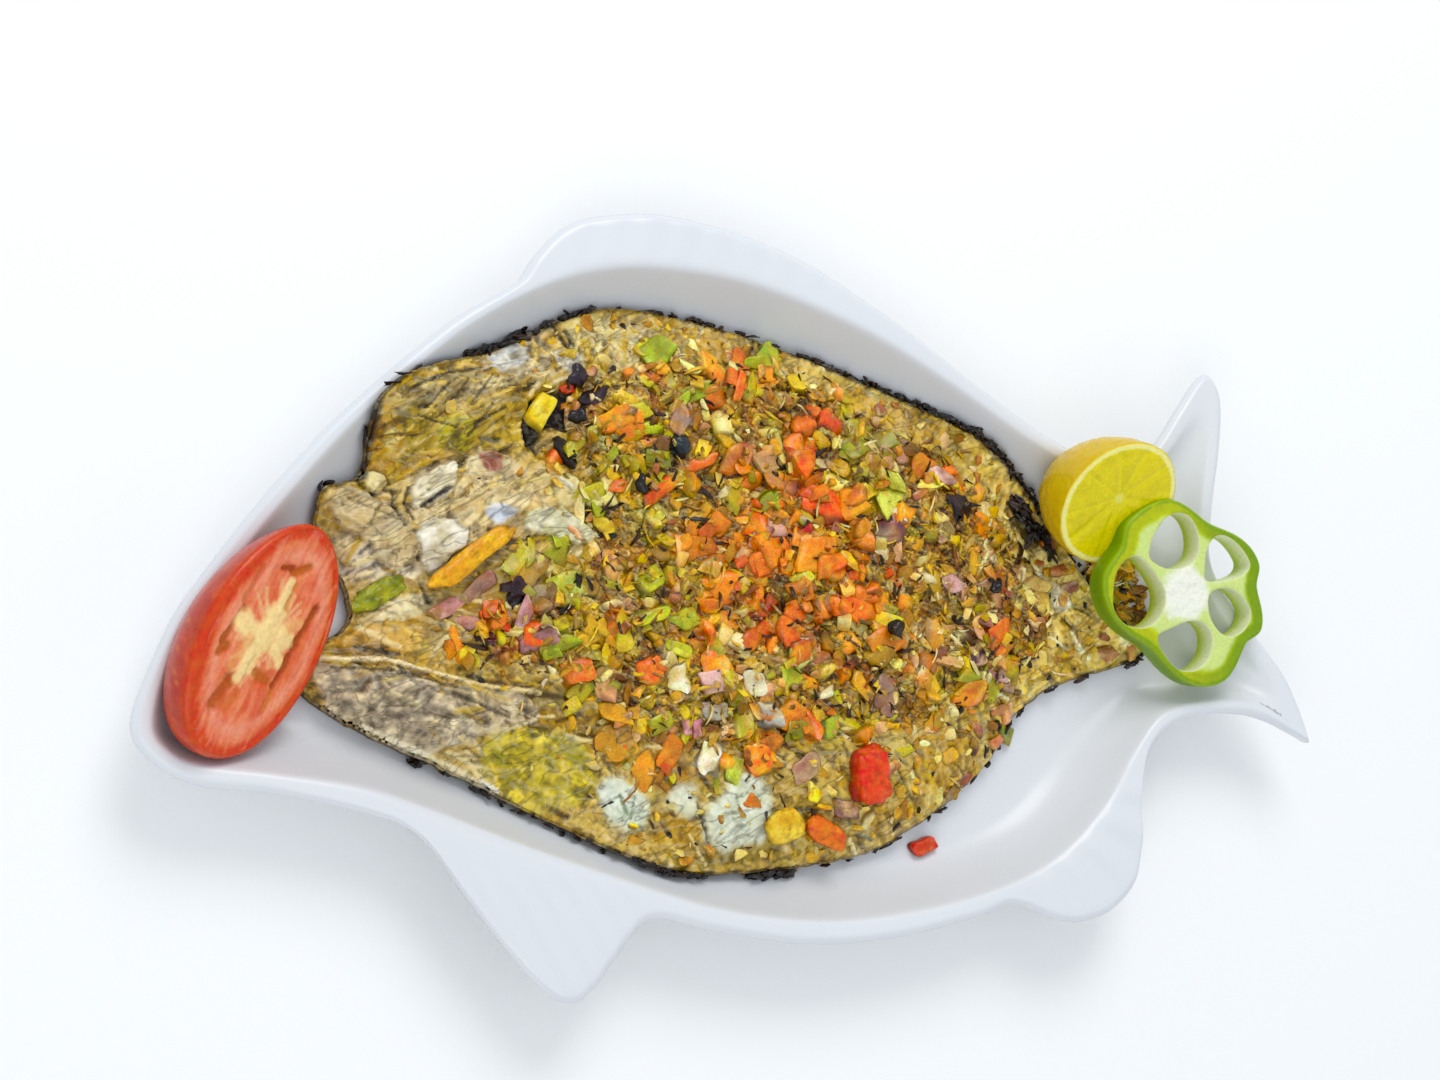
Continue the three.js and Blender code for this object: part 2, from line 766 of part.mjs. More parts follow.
// Half a long tomato, its cut face up.
function makeTomato(bed, fish) {
  const { halfLength, halfWidth, depth, skew } = TOMATO_SIZE;
  const levels = [0.995, 0.93, 0.8, 0.62, 0.4, 0.18, 0];
  const loops = levels.map((level) => {
    const size = Math.sqrt(1 - level ** 2.2);
    const oval = ovalLoop(28, halfLength * size, halfWidth * size, -depth * level);
    return oval.map(([x, y, z]) => [x + skew * level, y, z]);
  });
  return largestBody(restOn(place(loft(loops), TOMATO).subtract(bed), fish));
}

// Half a lemon, cut a little aslant: a whole one with a block taken off its upper half.
function makeLemon(bed, fish) {
  const { radius, halfLength, nub } = LEMON_SIZE;
  const levels = [-1, -0.96, -0.86, -0.7, -0.48, -0.22, 0.05, 0.35, 0.62, 0.86, 0.99];
  const nubLoop = ovalLoop(26, 2.2, 2.2, -halfLength - nub);
  const shoulder = ovalLoop(26, 4.2, 4.2, -halfLength - nub * 0.4);
  const body = levels.slice(1).map((level) => {
    const size = Math.sqrt(1 - level ** 2);
    return ovalLoop(26, radius * size, radius * size, halfLength * level);
  });
  const whole = geometryOf(loft([nubLoop, shoulder, ...body]));
  const upright = new THREE.Vector3(0, 0, -1);
  const axis = new THREE.Vector3(...LEMON_AXIS).normalize();
  const turned = new THREE.Quaternion().setFromUnitVectors(upright, axis);
  whole.applyMatrix4(new THREE.Matrix4().makeRotationFromQuaternion(turned));
  whole.applyMatrix4(new THREE.Matrix4().makeTranslation(LEMON.x, LEMON.y, LEMON.z));
  const cutAway = place(manifoldOf(bareBox(120, 120, 80).translate(0, 0, 40)), LEMON);
  return largestBody(restOn(manifoldOf(whole).subtract(cutAway).subtract(bed), fish));
}

// The radius of the pepper ring in a direction, eased between its lobes and waists.
function pepperRadius(angle) {
  const degrees = THREE.MathUtils.radToDeg(angle);
  const count = PEPPER_OUTLINE.length;
  const first = PEPPER_OUTLINE[0][0];
  const turned = first + THREE.MathUtils.euclideanModulo(degrees - first, 360);
  let index = count - 1;
  while (PEPPER_OUTLINE[index][0] > turned) index -= 1;
  const [from, radius] = PEPPER_OUTLINE[index];
  const [next, nextRadius] = PEPPER_OUTLINE[(index + 1) % count];
  const to = index + 1 < count ? next : next + 360;
  return mix(radius, nextRadius, THREE.MathUtils.smoothstep(turned, from, to));
}

function makePepper(bed, ...supports) {
  const outline = Array.from({ length: 56 }, (_, i) => {
    const angle = (i / 56) * 2 * Math.PI;
    const radius = pepperRadius(angle);
    return new THREE.Vector2(radius * Math.cos(angle), radius * Math.sin(angle));
  });
  const shape = new THREE.Shape(outline);
  PEPPER_CHAMBERS.forEach(({ x, y, halfX, halfY, turn }) => {
    shape.holes.push(new THREE.Path().absellipse(x, y, halfX, halfY, 0, 2 * Math.PI, true, radians(turn)));
  });
  const slice = new THREE.ExtrudeGeometry(shape, {
    depth: PEPPER_THICK,
    curveSegments: 8,
    bevelEnabled: false,
  });
  return largestBody(restOn(place(manifoldOf(slice), PEPPER).subtract(bed), ...supports));
}

// ---- assembly ----

const group = new THREE.Group();

function addNode(name, solid, colour, roughnessValue) {
  const material = new THREE.MeshStandardMaterial({
    color: colour,
    roughness: roughnessValue,
    metalness: 0,
  });
  const mesh = new THREE.Mesh(geometryOf(solid), material);
  mesh.name = name;
  group.add(mesh);
}

const platter = makePlatter();
const bed = makePlatterBed();
const fish = makeFish(bed);
const heap = makeHeap(fish);
addNode("platter", platter, 0xf1f1f4, 0.25);
addNode("fish", fish, 0xb89a45, 0.6);
addNode("vegetable_topping", heap, 0xc9772c, 0.5);

LOOSE_PIECES.forEach((piece) => {
  const z = fishTop(piece.x, piece.y) + piece.height * 0.3;
  const solid = largestBody(restOn(chunk(piece, z), fish).subtract(heap));
  addNode(piece.name, solid, piece.colour, 0.4);
});
const strip = chunk(YELLOW_STRIP, fishTop(YELLOW_STRIP.x, YELLOW_STRIP.y) + 2.5);
addNode("yellow_pepper_strip", largestBody(restOn(strip, fish, heap)), YELLOW, 0.4);
const fallen = chunk(FALLEN_PIECE, wellTop(FALLEN_PIECE.x, FALLEN_PIECE.y) + 1.8);
addNode("fallen_tomato_piece", largestBody(fallen.subtract(bed)), RED, 0.4);

const lemon = makeLemon(bed, fish);
addNode("tomato_half", makeTomato(bed, fish), 0xd9452a, 0.3);
addNode("lemon_half", lemon, 0xd8c81c, 0.4);
addNode("pepper_ring", makePepper(bed, fish, lemon), 0x86b81f, 0.3);

export default group;
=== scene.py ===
"""Looks of a whole grilled fish under chopped vegetables, served in its fish-shaped platter."""

import math

import bpy
import numpy as np
from mathutils import Matrix, Vector
from mathutils.geometry import delaunay_2d_cdt


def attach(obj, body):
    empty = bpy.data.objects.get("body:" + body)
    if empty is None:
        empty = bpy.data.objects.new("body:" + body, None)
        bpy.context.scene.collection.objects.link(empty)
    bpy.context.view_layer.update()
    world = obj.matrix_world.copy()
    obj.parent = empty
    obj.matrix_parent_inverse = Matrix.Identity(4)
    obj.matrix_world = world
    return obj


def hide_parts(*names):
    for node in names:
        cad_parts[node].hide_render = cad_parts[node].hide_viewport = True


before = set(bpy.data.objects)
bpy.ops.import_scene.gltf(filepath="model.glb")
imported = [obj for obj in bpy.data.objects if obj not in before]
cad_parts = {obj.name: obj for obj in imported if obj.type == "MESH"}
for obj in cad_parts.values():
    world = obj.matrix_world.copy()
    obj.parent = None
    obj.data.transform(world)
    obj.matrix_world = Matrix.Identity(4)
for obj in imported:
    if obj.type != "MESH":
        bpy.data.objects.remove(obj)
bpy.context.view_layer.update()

MM = 0.001  # every size below is in millimetres, as in the part's own source

# ---- the platter's and the fish's forms, as in the part ----
RIM_Z = 28
WELL_DEPTH = 23
TAIL_DEPTH = 9
WALL_WIDTH = 24
TAIL_WALL_WIDTH = 10
TAIL_STARTS_X = 105
TAIL_LEVEL_X = 185
WALL_CURVE = 2.2
SHELL = 2.8
EDGE_DROP = 1.8
EDGE_FACE = 2.6
FOOT = {"x": -25, "y": 2, "radius_x": 128, "radius_y": 62}
FOOT_PROFILE = [  # how far in from its outer radii, height
    (0.9, 4.6), (0.2, 0.9), (0.7, 0.25), (1.5, 0), (4.5, 0), (5.3, 0.25), (5.8, 0.9), (5.1, 4.6),
]
RIM_SOFTNESS = 1.1  # how softly the flange turns into the wall
GAP = 0.35  # how far one thing keeps from what it lies on
OUTER_SHRINK = 0.9985  # keeps the outer edge inside the solid's own

FISH_EDGE_THICK = 5
FISH_THICK = 15
FISH_FLANK = 26
FISH_TAIL_THICK = 6
FLESH_RELIEF = 1.1
HEAP_HEIGHT = 5.5
HEAP_EDGE = 1.6

# The outlines below are closed curves through rows of (station, x, y).
STATIONS = 44
SILHOUETTE = [  # the platter's outer edge
    (0, -222.8, -27), (1, -214, -7), (2, -200, 14), (4, -151, 63), (5, -106, 96), (6, -78, 110.5),
    (6.3, -70, 120), (6.7, -58, 129.5), (7.3, -42, 133.3), (8, -16, 132.5), (9, 26, 118.5),
    (10, 66, 92), (11, 95, 68), (12, 122, 47), (13, 148, 32.5), (14, 161, 31), (15, 174, 40),
    (16, 187, 53.5), (17, 200.5, 65.5), (17.5, 205.5, 61.5), (18, 206.5, 53), (19, 202, 35),
    (20, 193.5, 10), (21, 190, -9), (22, 198, -27), (23, 208.5, -43), (24, 217, -58),
    (25, 222.5, -80.5), (25.4, 218, -78.5), (26, 205, -71), (27, 191, -66.5), (28, 172, -65),
    (29, 156, -69.5), (29.6, 147, -78), (30.1, 141.5, -93), (30.6, 139.5, -107), (31, 135.5, -119),
    (31.4, 126, -129), (31.9, 111, -133.6), (32.3, 99, -132), (32.8, 81, -123.6), (33.2, 66, -126),
    (34, 33, -128.5), (35, -2, -126), (36, -37, -116.5), (36.6, -56, -109.5), (37, -64, -111),
    (37.5, -74, -120), (38, -84, -129.5), (38.4, -92.5, -132), (38.7, -101, -125), (39, -111, -111),
    (39.3, -122, -93), (39.7, -132, -75.5), (40, -142, -66.5), (41, -178, -53.5), (42, -204, -47.5),
    (43, -217, -39),
]
RIM = [  # where the flange turns into the wall
    (0, -216, -27), (1, -208, -6), (2, -193, 13), (4, -145, 61), (5, -103, 92), (6, -70, 108),
    (7, -45, 114), (8, -20, 113.5), (9, 14, 106), (10, 54, 88), (11, 86, 67), (12, 118, 43),
    (13, 145, 27), (14, 160, 25), (15, 175, 33.5), (16, 188, 47), (17, 198, 58), (18, 200.5, 50),
    (19, 196, 34), (20, 187.5, 10), (21, 183.5, -11), (22, 191.5, -30), (23, 202.5, -46),
    (24, 211, -60), (25, 215.5, -73), (26, 204, -65.5), (27, 191, -61.5), (28, 172, -60),
    (29, 156, -63), (30, 141, -76), (31, 125, -94), (32, 101, -110), (33, 70, -118), (34, 33, -120.5),
    (35, 0, -118), (36, -35, -109), (37, -70, -94), (38, -102, -79), (39, -131, -64), (40, -153, -54),
    (41, -180, -46.5), (42, -203, -41), (43, -212, -35.5),
]
KEEL = [  # the middle of the well, drawn as a narrow loop
    (0, -176, -26), (2, -162, -14), (4, -126, -5), (6, -66, -2), (10, 40, -4), (12, 100, -8),
    (14, 150, -10), (15, 167, 2), (16, 180, 24), (17, 192, 46), (18, 193, 43), (19, 187, 26),
    (20, 175, 4), (21, 167, -14), (22, 178, -34), (23, 192, -51), (24, 204, -63), (25, 208, -68),
    (26, 197, -61), (27, 182, -49), (28, 162, -37), (30, 122, -32), (34, 28, -34), (38, -98, -32),
    (40, -138, -30), (42, -170, -28.5),
]

FISH_BOX = (-168, 158, -103, 105)  # lowest and highest x, lowest and highest y
HEAD_END_X = -50
FISH_STATIONS = 29
FISH_OUTLINE = [
    (0, -166, -19), (1, -159, -7), (2, -147, 2), (3, -148, 16), (4, -155, 32), (5, -152, 45),
    (6, -138, 50), (7, -136, 62), (8, -133, 73), (9, -117, 82), (10, -84, 91), (11, -46, 103),
    (12, -12, 99), (13, 30, 85), (14, 86, 57), (15, 112, 37), (16, 130, 14), (17, 141, -10),
    (18, 156, -32), (19, 154, -42), (20, 122, -48), (21, 102, -58), (22, 90, -72), (23, 62, -89),
    (24, 26, -100), (25, -34, -98), (26, -66, -86), (27, -117, -54), (28, -150, -34),
]
FISH_FORMS = [  # x, y, half sizes, turn in degrees, height
    (-102, 70, 42, 17, 20, 7),
    (-118, -34, 52, 15, -22, 7),
    (-118, 10, 26, 15, -15, -6),
    (-70, 58, 10, 17, 0, -5),
]
HEAP_BOX = (-116, 126, -62, 89)
HEAP_STATIONS = 15
HEAP_OUTLINE = [
    (0, -114, -13), (1, -92, 3), (2, -66, 17), (3, -62, 46), (4, -62, 70), (5, -32, 86), (6, 12, 82),
    (7, 56, 61), (8, 99, 31), (9, 124, -9), (10, 116, -36), (11, 70, -57), (12, 12, -60),
    (13, -46, -56), (14, -80, -28),
]

# ---- numbers ----


def smooth(value, low, high):
    """Rises softly from 0 at `low` to 1 at `high`."""
    share = np.clip((value - low) / (high - low), 0, 1)
    return share * share * (3 - 2 * share)


def mix(low, high, share):
    return low + (high - low) * share


def linear(code):
    """The linear colour of an sRGB hex code."""
    channels = np.array([int(code[i : i + 2], 16) for i in (0, 2, 4)]) / 255
    return np.where(channels <= 0.04045, channels / 12.92, ((channels + 0.055) / 1.055) ** 2.4)


def turned(x, y, degrees):
    """x and y in axes turned by that angle."""
    angle = math.radians(degrees)
    return x * math.cos(angle) + y * math.sin(angle), y * math.cos(angle) - x * math.sin(angle)


def oval(x, y, middle_x, middle_y, half_x, half_y, turn=0):
    """How far out points are in an oval: 0 in its middle, 1 on its edge."""
    along, across = turned(x - middle_x, y - middle_y, turn)
    return np.hypot(along / half_x, across / half_y)


def tinted(colours, code, share):
    """Colours, with a share of another one laid over each."""
    return mix(colours, linear(code), share[:, None])


def shaded(first, second, share):
    """Colours between two codes."""
    return tinted(linear(first), second, share)


NOISE_TABLE = np.random.RandomState(11).rand(512, 512)


def noise(x, y, size, seed):
    """Smooth bumps from -1 to 1, about `size` apart."""
    u, v = turned(np.asarray(x) / size, np.asarray(y) / size, 57.0 * seed + 20)
    u = u + 31.7 * seed
    v = v + 12.9 * seed
    column = np.floor(u).astype(int)
    row = np.floor(v).astype(int)
    across = smooth(u - column, 0, 1)
    along = smooth(v - row, 0, 1)
    corners = [NOISE_TABLE[(row + j) & 511, (column + i) & 511] for j in (0, 1) for i in (0, 1)]
    low = mix(corners[0], corners[1], across)
    high = mix(corners[2], corners[3], across)
    return 2 * mix(low, high, along) - 1


def rough(x, y, size, seed, octaves=3):
    """Bumps with finer bumps on them."""
    weights = [0.55**k for k in range(octaves)]
    total = sum(noise(x, y, size / 2**k, seed + k) * weight for k, weight in enumerate(weights))
    return total / sum(weights)


def fibres(x, y, degrees, length, width, seed):
    """Streaks along a direction."""
    along, across = turned(np.asarray(x, float), np.asarray(y, float), degrees)
    wander = 2 * noise(x, y, 14, seed + 3)
    return rough(along * width / length, across + wander, width, seed, 2)


def folds(x, y, degrees, length, width, seed):
    """Wrinkles along a direction, 0 in the creases and 1 on the crests."""
    along, across = turned(np.asarray(x, float), np.asarray(y, float), degrees)
    along = along * width / length
    wander = 1.6 * noise(x, y, 11, seed + 3)
    broad = np.clip(1 - 1.5 * np.abs(noise(along, across + wander, width, seed)), 0, 1)
    fine = np.clip(1 - 1.5 * np.abs(noise(along, across - wander, width * 0.45, seed + 1)), 0, 1)
    return broad * 0.65 + fine * 0.35


def ridges(x, y, size, seed):
    """Sharp little ridges, 0 to 1."""
    return np.clip(1 - 2.4 * np.abs(noise(x, y, size, seed)), 0, 1)


CHIP_STRETCH = 0.8  # how much longer than wide the longest chips are


def chips(x, y, spacing, seed):
    """Uneven cells like chopped bits pressed together.

    Gives each point's cell middle, two random numbers of the cell, how far along the cell's own
    slope the point is, and how far it is from the cell's edge.
    """
    table = np.random.RandomState(seed).rand(128, 128, 7)
    u, v = np.asarray(x) / spacing, np.asarray(y) / spacing
    column, row = np.floor(u).astype(int), np.floor(v).astype(int)
    best = np.full(u.shape, 99.0)
    second = best.copy()
    kept = np.zeros((5, *u.shape))
    for i in range(-2, 3):
        for j in range(-2, 3):
            cell = table[(row + j) & 127, (column + i) & 127]
            middle_x, middle_y = column + i + cell[..., 0], row + j + cell[..., 1]
            dx, dy = u - middle_x, v - middle_y
            angle = cell[..., 2] * math.pi
            longer = 1 + CHIP_STRETCH * (0.3 + 0.7 * cell[..., 3])
            along = (dx * np.cos(angle) + dy * np.sin(angle)) / longer
            across = (dy * np.cos(angle) - dx * np.sin(angle)) * longer**0.5
            distance = np.hypot(along, across)
            closer = distance < best
            second = np.where(closer, best, np.minimum(second, distance))
            best = np.where(closer, distance, best)
            lean = cell[..., 6] * 2 * math.pi
            slope = dx * np.cos(lean) + dy * np.sin(lean)
            found = (middle_x * spacing, middle_y * spacing, cell[..., 4], cell[..., 5], slope)
            kept = np.where(closer, np.array(found), kept)
    return *kept, second - best


def closed_curve(rows, stations, at):
    """Points on a smooth closed curve through rows of (station, x, y)."""
    rows = np.array(rows, float)
    at = np.mod(np.asarray(at, float), stations)
    index = np.searchsorted(rows[:, 0], at, side="right") - 1

    def row(step):
        place = index + step
        found = rows[place % len(rows)].copy()
        found[:, 0] += place // len(rows) * stations
        return found

    before, start, end, after = row(-1), row(0), row(1), row(2)
    span = (end - start)[:, :1]
    share = (at[:, None] - start[:, :1]) / span
    slope_in = (end - before)[:, 1:] / (end - before)[:, :1] * span
    slope_out = (after - start)[:, 1:] / (after - start)[:, :1] * span
    rise = (end - start)[:, 1:]
    bend = slope_in + slope_out - 2 * rise
    return start[:, 1:] + share * (slope_in + share * (rise - slope_in + (share - 1) * bend))


def even_stations(rows, stations, spacing):
    """Stations about `spacing` apart along the curve."""
    dense = np.linspace(0, stations, 6000)
    points = closed_curve(rows, stations, dense[:-1])
    steps = np.hypot(*(np.roll(points, -1, axis=0) - points).T)
    travelled = np.concatenate([[0], np.cumsum(steps)])
    count = int(travelled[-1] / spacing)
    return np.interp(np.arange(count) * travelled[-1] / count, travelled, dense)


def loop_of(rows, stations, spacing):
    """Points about `spacing` apart on the curve."""
    return closed_curve(rows, stations, even_stations(rows, stations, spacing))


def rounded(corners, steps=6):
    """A smooth loop through corners."""
    rows = [(number, *corner) for number, corner in enumerate(corners)]
    return closed_curve(rows, len(corners), np.arange(0, len(corners), 1 / steps))


def stroke_distance(x, y, ax, ay, bx, by):
    """Distance from points to the line between two others."""
    dx, dy = bx - ax, by - ay
    along = np.clip(((x - ax) * dx + (y - ay) * dy) / (dx * dx + dy * dy), 0, 1)
    return np.hypot(x - ax - along * dx, y - ay - along * dy)


def sides_of(loop):
    """The ends of each side of a closed loop."""
    return zip(loop, np.roll(loop, -1, axis=0))


def inside(loop, x, y):
    """Whether points lie inside a closed loop."""
    found = np.zeros(np.shape(x), bool)
    for (ax, ay), (bx, by) in sides_of(loop):
        if ay != by:
            found ^= ((ay > y) != (by > y)) & (x < (bx - ax) * (y - ay) / (by - ay) + ax)
    return found


def distance_inside(loop, x, y):
    """Distance of points to a closed loop, positive inside it."""
    best = np.full(np.shape(x), np.inf)
    for a, b in sides_of(loop):
        best = np.minimum(best, stroke_distance(x, y, *a, *b))
    return np.where(inside(loop, x, y), best, -best)


def facing(loop):
    """1 for a loop that runs anticlockwise, -1 for the other way."""
    following = np.roll(loop, -1, axis=0)
    area = (loop[:, 0] * following[:, 1] - following[:, 0] * loop[:, 1]).sum()
    return 1 if area > 0 else -1


def outwards(loop):
    """The direction away from a closed loop at each of its points."""
    tangent = np.roll(loop, -1, axis=0) - np.roll(loop, 1, axis=0)
    tangent /= np.hypot(*tangent.T)[:, None]
    return np.column_stack([tangent[:, 1], -tangent[:, 0]]) * facing(loop)


# ---- height maps, one value a millimetre ----

GRID_X = np.arange(-232.0, 233.0)
GRID_Y = np.arange(-142.0, 143.0)
GRID = np.meshgrid(GRID_X, GRID_Y)
MAP_LOOP_STEP = 3


def blur(field, radius):
    """A soft average over about `radius` millimetres."""
    reach = int(3 * radius)
    steps = np.arange(-reach, reach + 1)
    weights = np.exp(-((steps / radius) ** 2) / 2)
    weights /= weights.sum()
    for axis in (0, 1):
        padded = np.pad(field, [(reach, reach) if axis == k else (0, 0) for k in (0, 1)], "edge")
        size = field.shape[axis]
        parts = [w * np.take(padded, np.arange(k, k + size), axis) for k, w in enumerate(weights)]
        field = sum(parts)
    return field


def sample(field, x, y):
    """The map's value at points between its own."""
    u = np.clip(np.asarray(x, float) - GRID_X[0], 0, len(GRID_X) - 1.001)
    v = np.clip(np.asarray(y, float) - GRID_Y[0], 0, len(GRID_Y) - 1.001)
    column, row = u.astype(int), v.astype(int)
    u, v = u - column, v - row
    low = mix(field[row, column], field[row, column + 1], u)
    high = mix(field[row + 1, column], field[row + 1, column + 1], u)
    return mix(low, high, v)


def distance_map(rows, stations):
    """The map of how far inside a closed curve each place is."""
    return distance_inside(loop_of(rows, stations, MAP_LOOP_STEP), *GRID)


fish_inward = distance_map(FISH_OUTLINE, FISH_STATIONS)
heap_inward = distance_map(HEAP_OUTLINE, HEAP_STATIONS)


def well(x):
    """The depth and the wall's width of the well, which gets shallow and narrow in the tail."""
    share = smooth(x, TAIL_STARTS_X, TAIL_LEVEL_X)
    return mix(WELL_DEPTH, TAIL_DEPTH, share), mix(WALL_WIDTH, TAIL_WALL_WIDTH, share)


rim_distance = distance_map(RIM, STATIONS)
softer = np.maximum(smooth(GRID[0], 150, 180), smooth(rim_distance, 5, 15))
rim_inward = mix(blur(rim_distance, 1.6), blur(rim_distance, 6), softer)


def bowl(share):
    """How deep the wall has come down, from 0 at the rim to 1 at its foot."""
    return 1 - (1 - np.clip(share, 0, 1)) ** WALL_CURVE


def fin_rays(x, y):
    """Shallow rays pressed into the flange of each fin."""
    _, across = turned(x + 90, y + 105, -66)
    belly = smooth(-y, 84, 96) * smooth(-x, 58, 66) * np.cos(across * 2 * math.pi / 8.6)
    anal = smooth(x, 88, 96) * smooth(-y, 84, 92) * np.cos(np.arctan2(y + 74, x - 84) * 24)
    _, across = turned(x, y, 72)
    back = smooth(y, 98, 110) * smooth(x, -70, -50) * np.cos(across * 2 * math.pi / 13)
    outside = smooth(-sample(rim_inward, x, y), 1.5, 6)
    return outside * (0.42 * belly + 0.5 * anal + 0.14 * back)


def dish_top(x, y):
    """Height of the platter's upper surface, flange and well."""
    distance = sample(rim_inward, x, y)
    inward = (distance + np.hypot(distance, RIM_SOFTNESS)) / 2
    depth, width = well(x)
    return RIM_Z - depth * bowl(inward / width)


def waves(x, y):
    """The low waves of the fish's surface, as in the part."""
    return (
        0.5 * np.sin(x * 0.21 + 2.1 * np.sin(y * 0.13))
        + 0.35 * np.sin(y * 0.34 - 1.3 + 1.7 * np.sin(x * 0.17))
        + 0.25 * np.sin((x + y) * 0.45 + 0.6)
    )


def fish_top(x, y):
    """Height of the fish's upper surface without its fine relief."""
    inward = np.maximum(0, sample(fish_inward, x, y))
    full = mix(FISH_THICK, FISH_TAIL_THICK, smooth(x, 70, 150))
    rise = 1 - (1 - np.minimum(1, inward / FISH_FLANK)) ** 2
    height = dish_top(x, y) + mix(FISH_EDGE_THICK, full, rise)
    for *form, lift in FISH_FORMS:
        height = height + lift * smooth(1 - oval(x, y, *form), 0, 0.8) * np.minimum(1, inward / 8)
    return height + FLESH_RELIEF * np.minimum(1, inward / 6) * waves(x, y)


def heap_top(x, y):
    """Height of the heap of vegetables without its fine relief."""
    share = np.clip(sample(heap_inward, x, y) / 30, 0, 1)
    return fish_top(x, y) + mix(HEAP_EDGE, HEAP_HEIGHT, share * (2 - share))


# ---- meshes ----


def add_piece(name, points, triangles, material, colours=None, nodes=(), crisp=None):
    """A piece from points in millimetres, smooth but for edges sharper than `crisp` degrees."""
    mesh = bpy.data.meshes.new(name)
    mesh.from_pydata(np.asarray(points, float) * MM, [], np.asarray(triangles, int))
    mesh.polygons.foreach_set("use_smooth", np.ones(len(mesh.polygons), bool))
    if colours is not None:
        rgba = np.ones((len(points), 4), np.float32)
        rgba[:, :3] = np.clip(colours, 0, 1)
        attribute = mesh.color_attributes.new("tint", "FLOAT_COLOR", "POINT")
        attribute.data.foreach_set("color", rgba.ravel())
    mesh.materials.append(material)
    mesh.update()
    if crisp:
        mesh.set_sharp_from_angle(angle=math.radians(crisp))
    piece = bpy.data.objects.new(name, mesh)
    bpy.context.scene.collection.objects.link(piece)
    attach(piece, "root")
    if nodes:
        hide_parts(*nodes)
    return piece


def at_height(points, z):
    """Points of the plane, lifted to a height or to one height each."""
    return np.column_stack([points, np.broadcast_to(z, len(points))])


def ladder(low, high, count):
    """Triangles between two closed loops of `count` points, numbered from `low` and from `high`."""
    here = np.arange(count)
    following = (here + 1) % count
    first = np.stack([low + here, low + following, high + following], 1)
    return np.concatenate([first, np.stack([low + here, high + following, high + here], 1)])


def ladders(start, count, levels):
    """Triangles between closed loops of `count` points, stacked one after another."""
    lows = start + count * np.arange(levels - 1)
    return np.concatenate([ladder(low, low + count, count) for low in lows])


def fill(outer, inner=(), holes=()):
    """Triangles over [outer loop, holes, inner points], numbered in that order."""
    loops = [outer, *holes]
    edges = []
    start = 0
    for loop in loops:
        edges += [(start + i, start + (i + 1) % len(loop)) for i in range(len(loop))]
        start += len(loop)
    given = np.concatenate([*loops, np.reshape(inner, (-1, 2))])
    _, _, found, sources, _, _ = delaunay_2d_cdt([Vector(p) for p in given], edges, [], 1, 1e-6)
    number = np.array([source[0] for source in sources])
    triangles = number[np.array([tuple(face) for face in found])]
    for hole in holes:
        triangles = triangles[~inside(hole, *given[triangles].mean(1).T)]
    return triangles


def slab(top, top_faces, rings, under, under_faces, side):
    """Joins an upper sheet, rings of points down its edge and a lower sheet to a closed body.

    The sheets' first points are their edges. Gives all points and triangles.
    """
    count = len(rings[0])
    start = len(top)
    walls = np.concatenate([ladder(start, 0, count), ladders(start, count, len(rings))])
    lower = under_faces + start + (len(rings) - 1) * count
    faces = np.concatenate([top_faces, walls[:, ::-side], lower[:, ::-1]])
    return np.concatenate([top, *rings, under[count:]]), faces


def hex_points(box, spacing, random, jitter=0.25):
    """Points of a honeycomb in a box, a little uneven."""
    xs = np.arange(box[0], box[1], spacing)
    ys = np.arange(box[2], box[3], spacing * 0.866)
    gx, gy = np.meshgrid(xs, ys)
    gx = gx + (np.arange(len(ys)) % 2)[:, None] * spacing / 2
    points = np.stack([gx.ravel(), gy.ravel()], 1)
    return points + random.uniform(-jitter, jitter, points.shape) * spacing


def points_within(field, depth, box, spacing, random, jitter=0.25):
    """Honeycomb points where a map is more than `depth`."""
    points = hex_points(box, spacing, random, jitter)
    return points[sample(field, *points.T) > depth]


# ---- materials ----


def new_material(name):
    material = bpy.data.materials.new(name)
    material.use_nodes = True
    return material, material.node_tree, material.node_tree.nodes["Principled BSDF"]


def set_inputs(node, **values):
    """Sets a node's own inputs by their names, with _ for a space."""
    for name, value in values.items():
        node.inputs[name.replace("_", " ")].default_value = value
    return node


def noise_socket(tree, place, size_mm, detail):
    """A noise texture in the object's own space, its bumps about `size_mm` apart."""
    texture = set_inputs(tree.nodes.new("ShaderNodeTexNoise"), Scale=1 / (size_mm * MM), Detail=detail)
    tree.links.new(place.outputs["Object"], texture.inputs["Vector"])
    return texture.outputs["Fac"]


def spread(tree, source, socket, low, high, limits=(0.3, 0.7)):
    """Feeds a value to a socket: `limits` of the value become `low` and `high`."""
    node = set_inputs(tree.nodes.new("ShaderNodeMapRange"), To_Min=low, To_Max=high)
    set_inputs(node, From_Min=limits[0], From_Max=limits[1])
    tree.links.new(source, node.inputs["Value"])
    tree.links.new(node.outputs["Result"], socket)


def add_bumps(tree, shader, source, strength, distance_mm):
    bumps = set_inputs(tree.nodes.new("ShaderNodeBump"), Strength=strength, Distance=distance_mm * MM)
    tree.links.new(source, bumps.inputs["Height"])
    tree.links.new(bumps.outputs["Normal"], shader.inputs["Normal"])


def calculated(tree, source, operation, number=0):
    """The result of a sum on a value."""
    node = tree.nodes.new("ShaderNodeMath")
    node.operation = operation
    node.inputs[1].default_value = number
    tree.links.new(source, node.inputs[0])
    return node.outputs[0]


MIX_UNDER, MIX_OVER, MIX_RESULT = 6, 7, 2  # the colour sockets of a Mix node
LINE_WIDTH = 0.045  # how far from a noise's middle value a line still shows


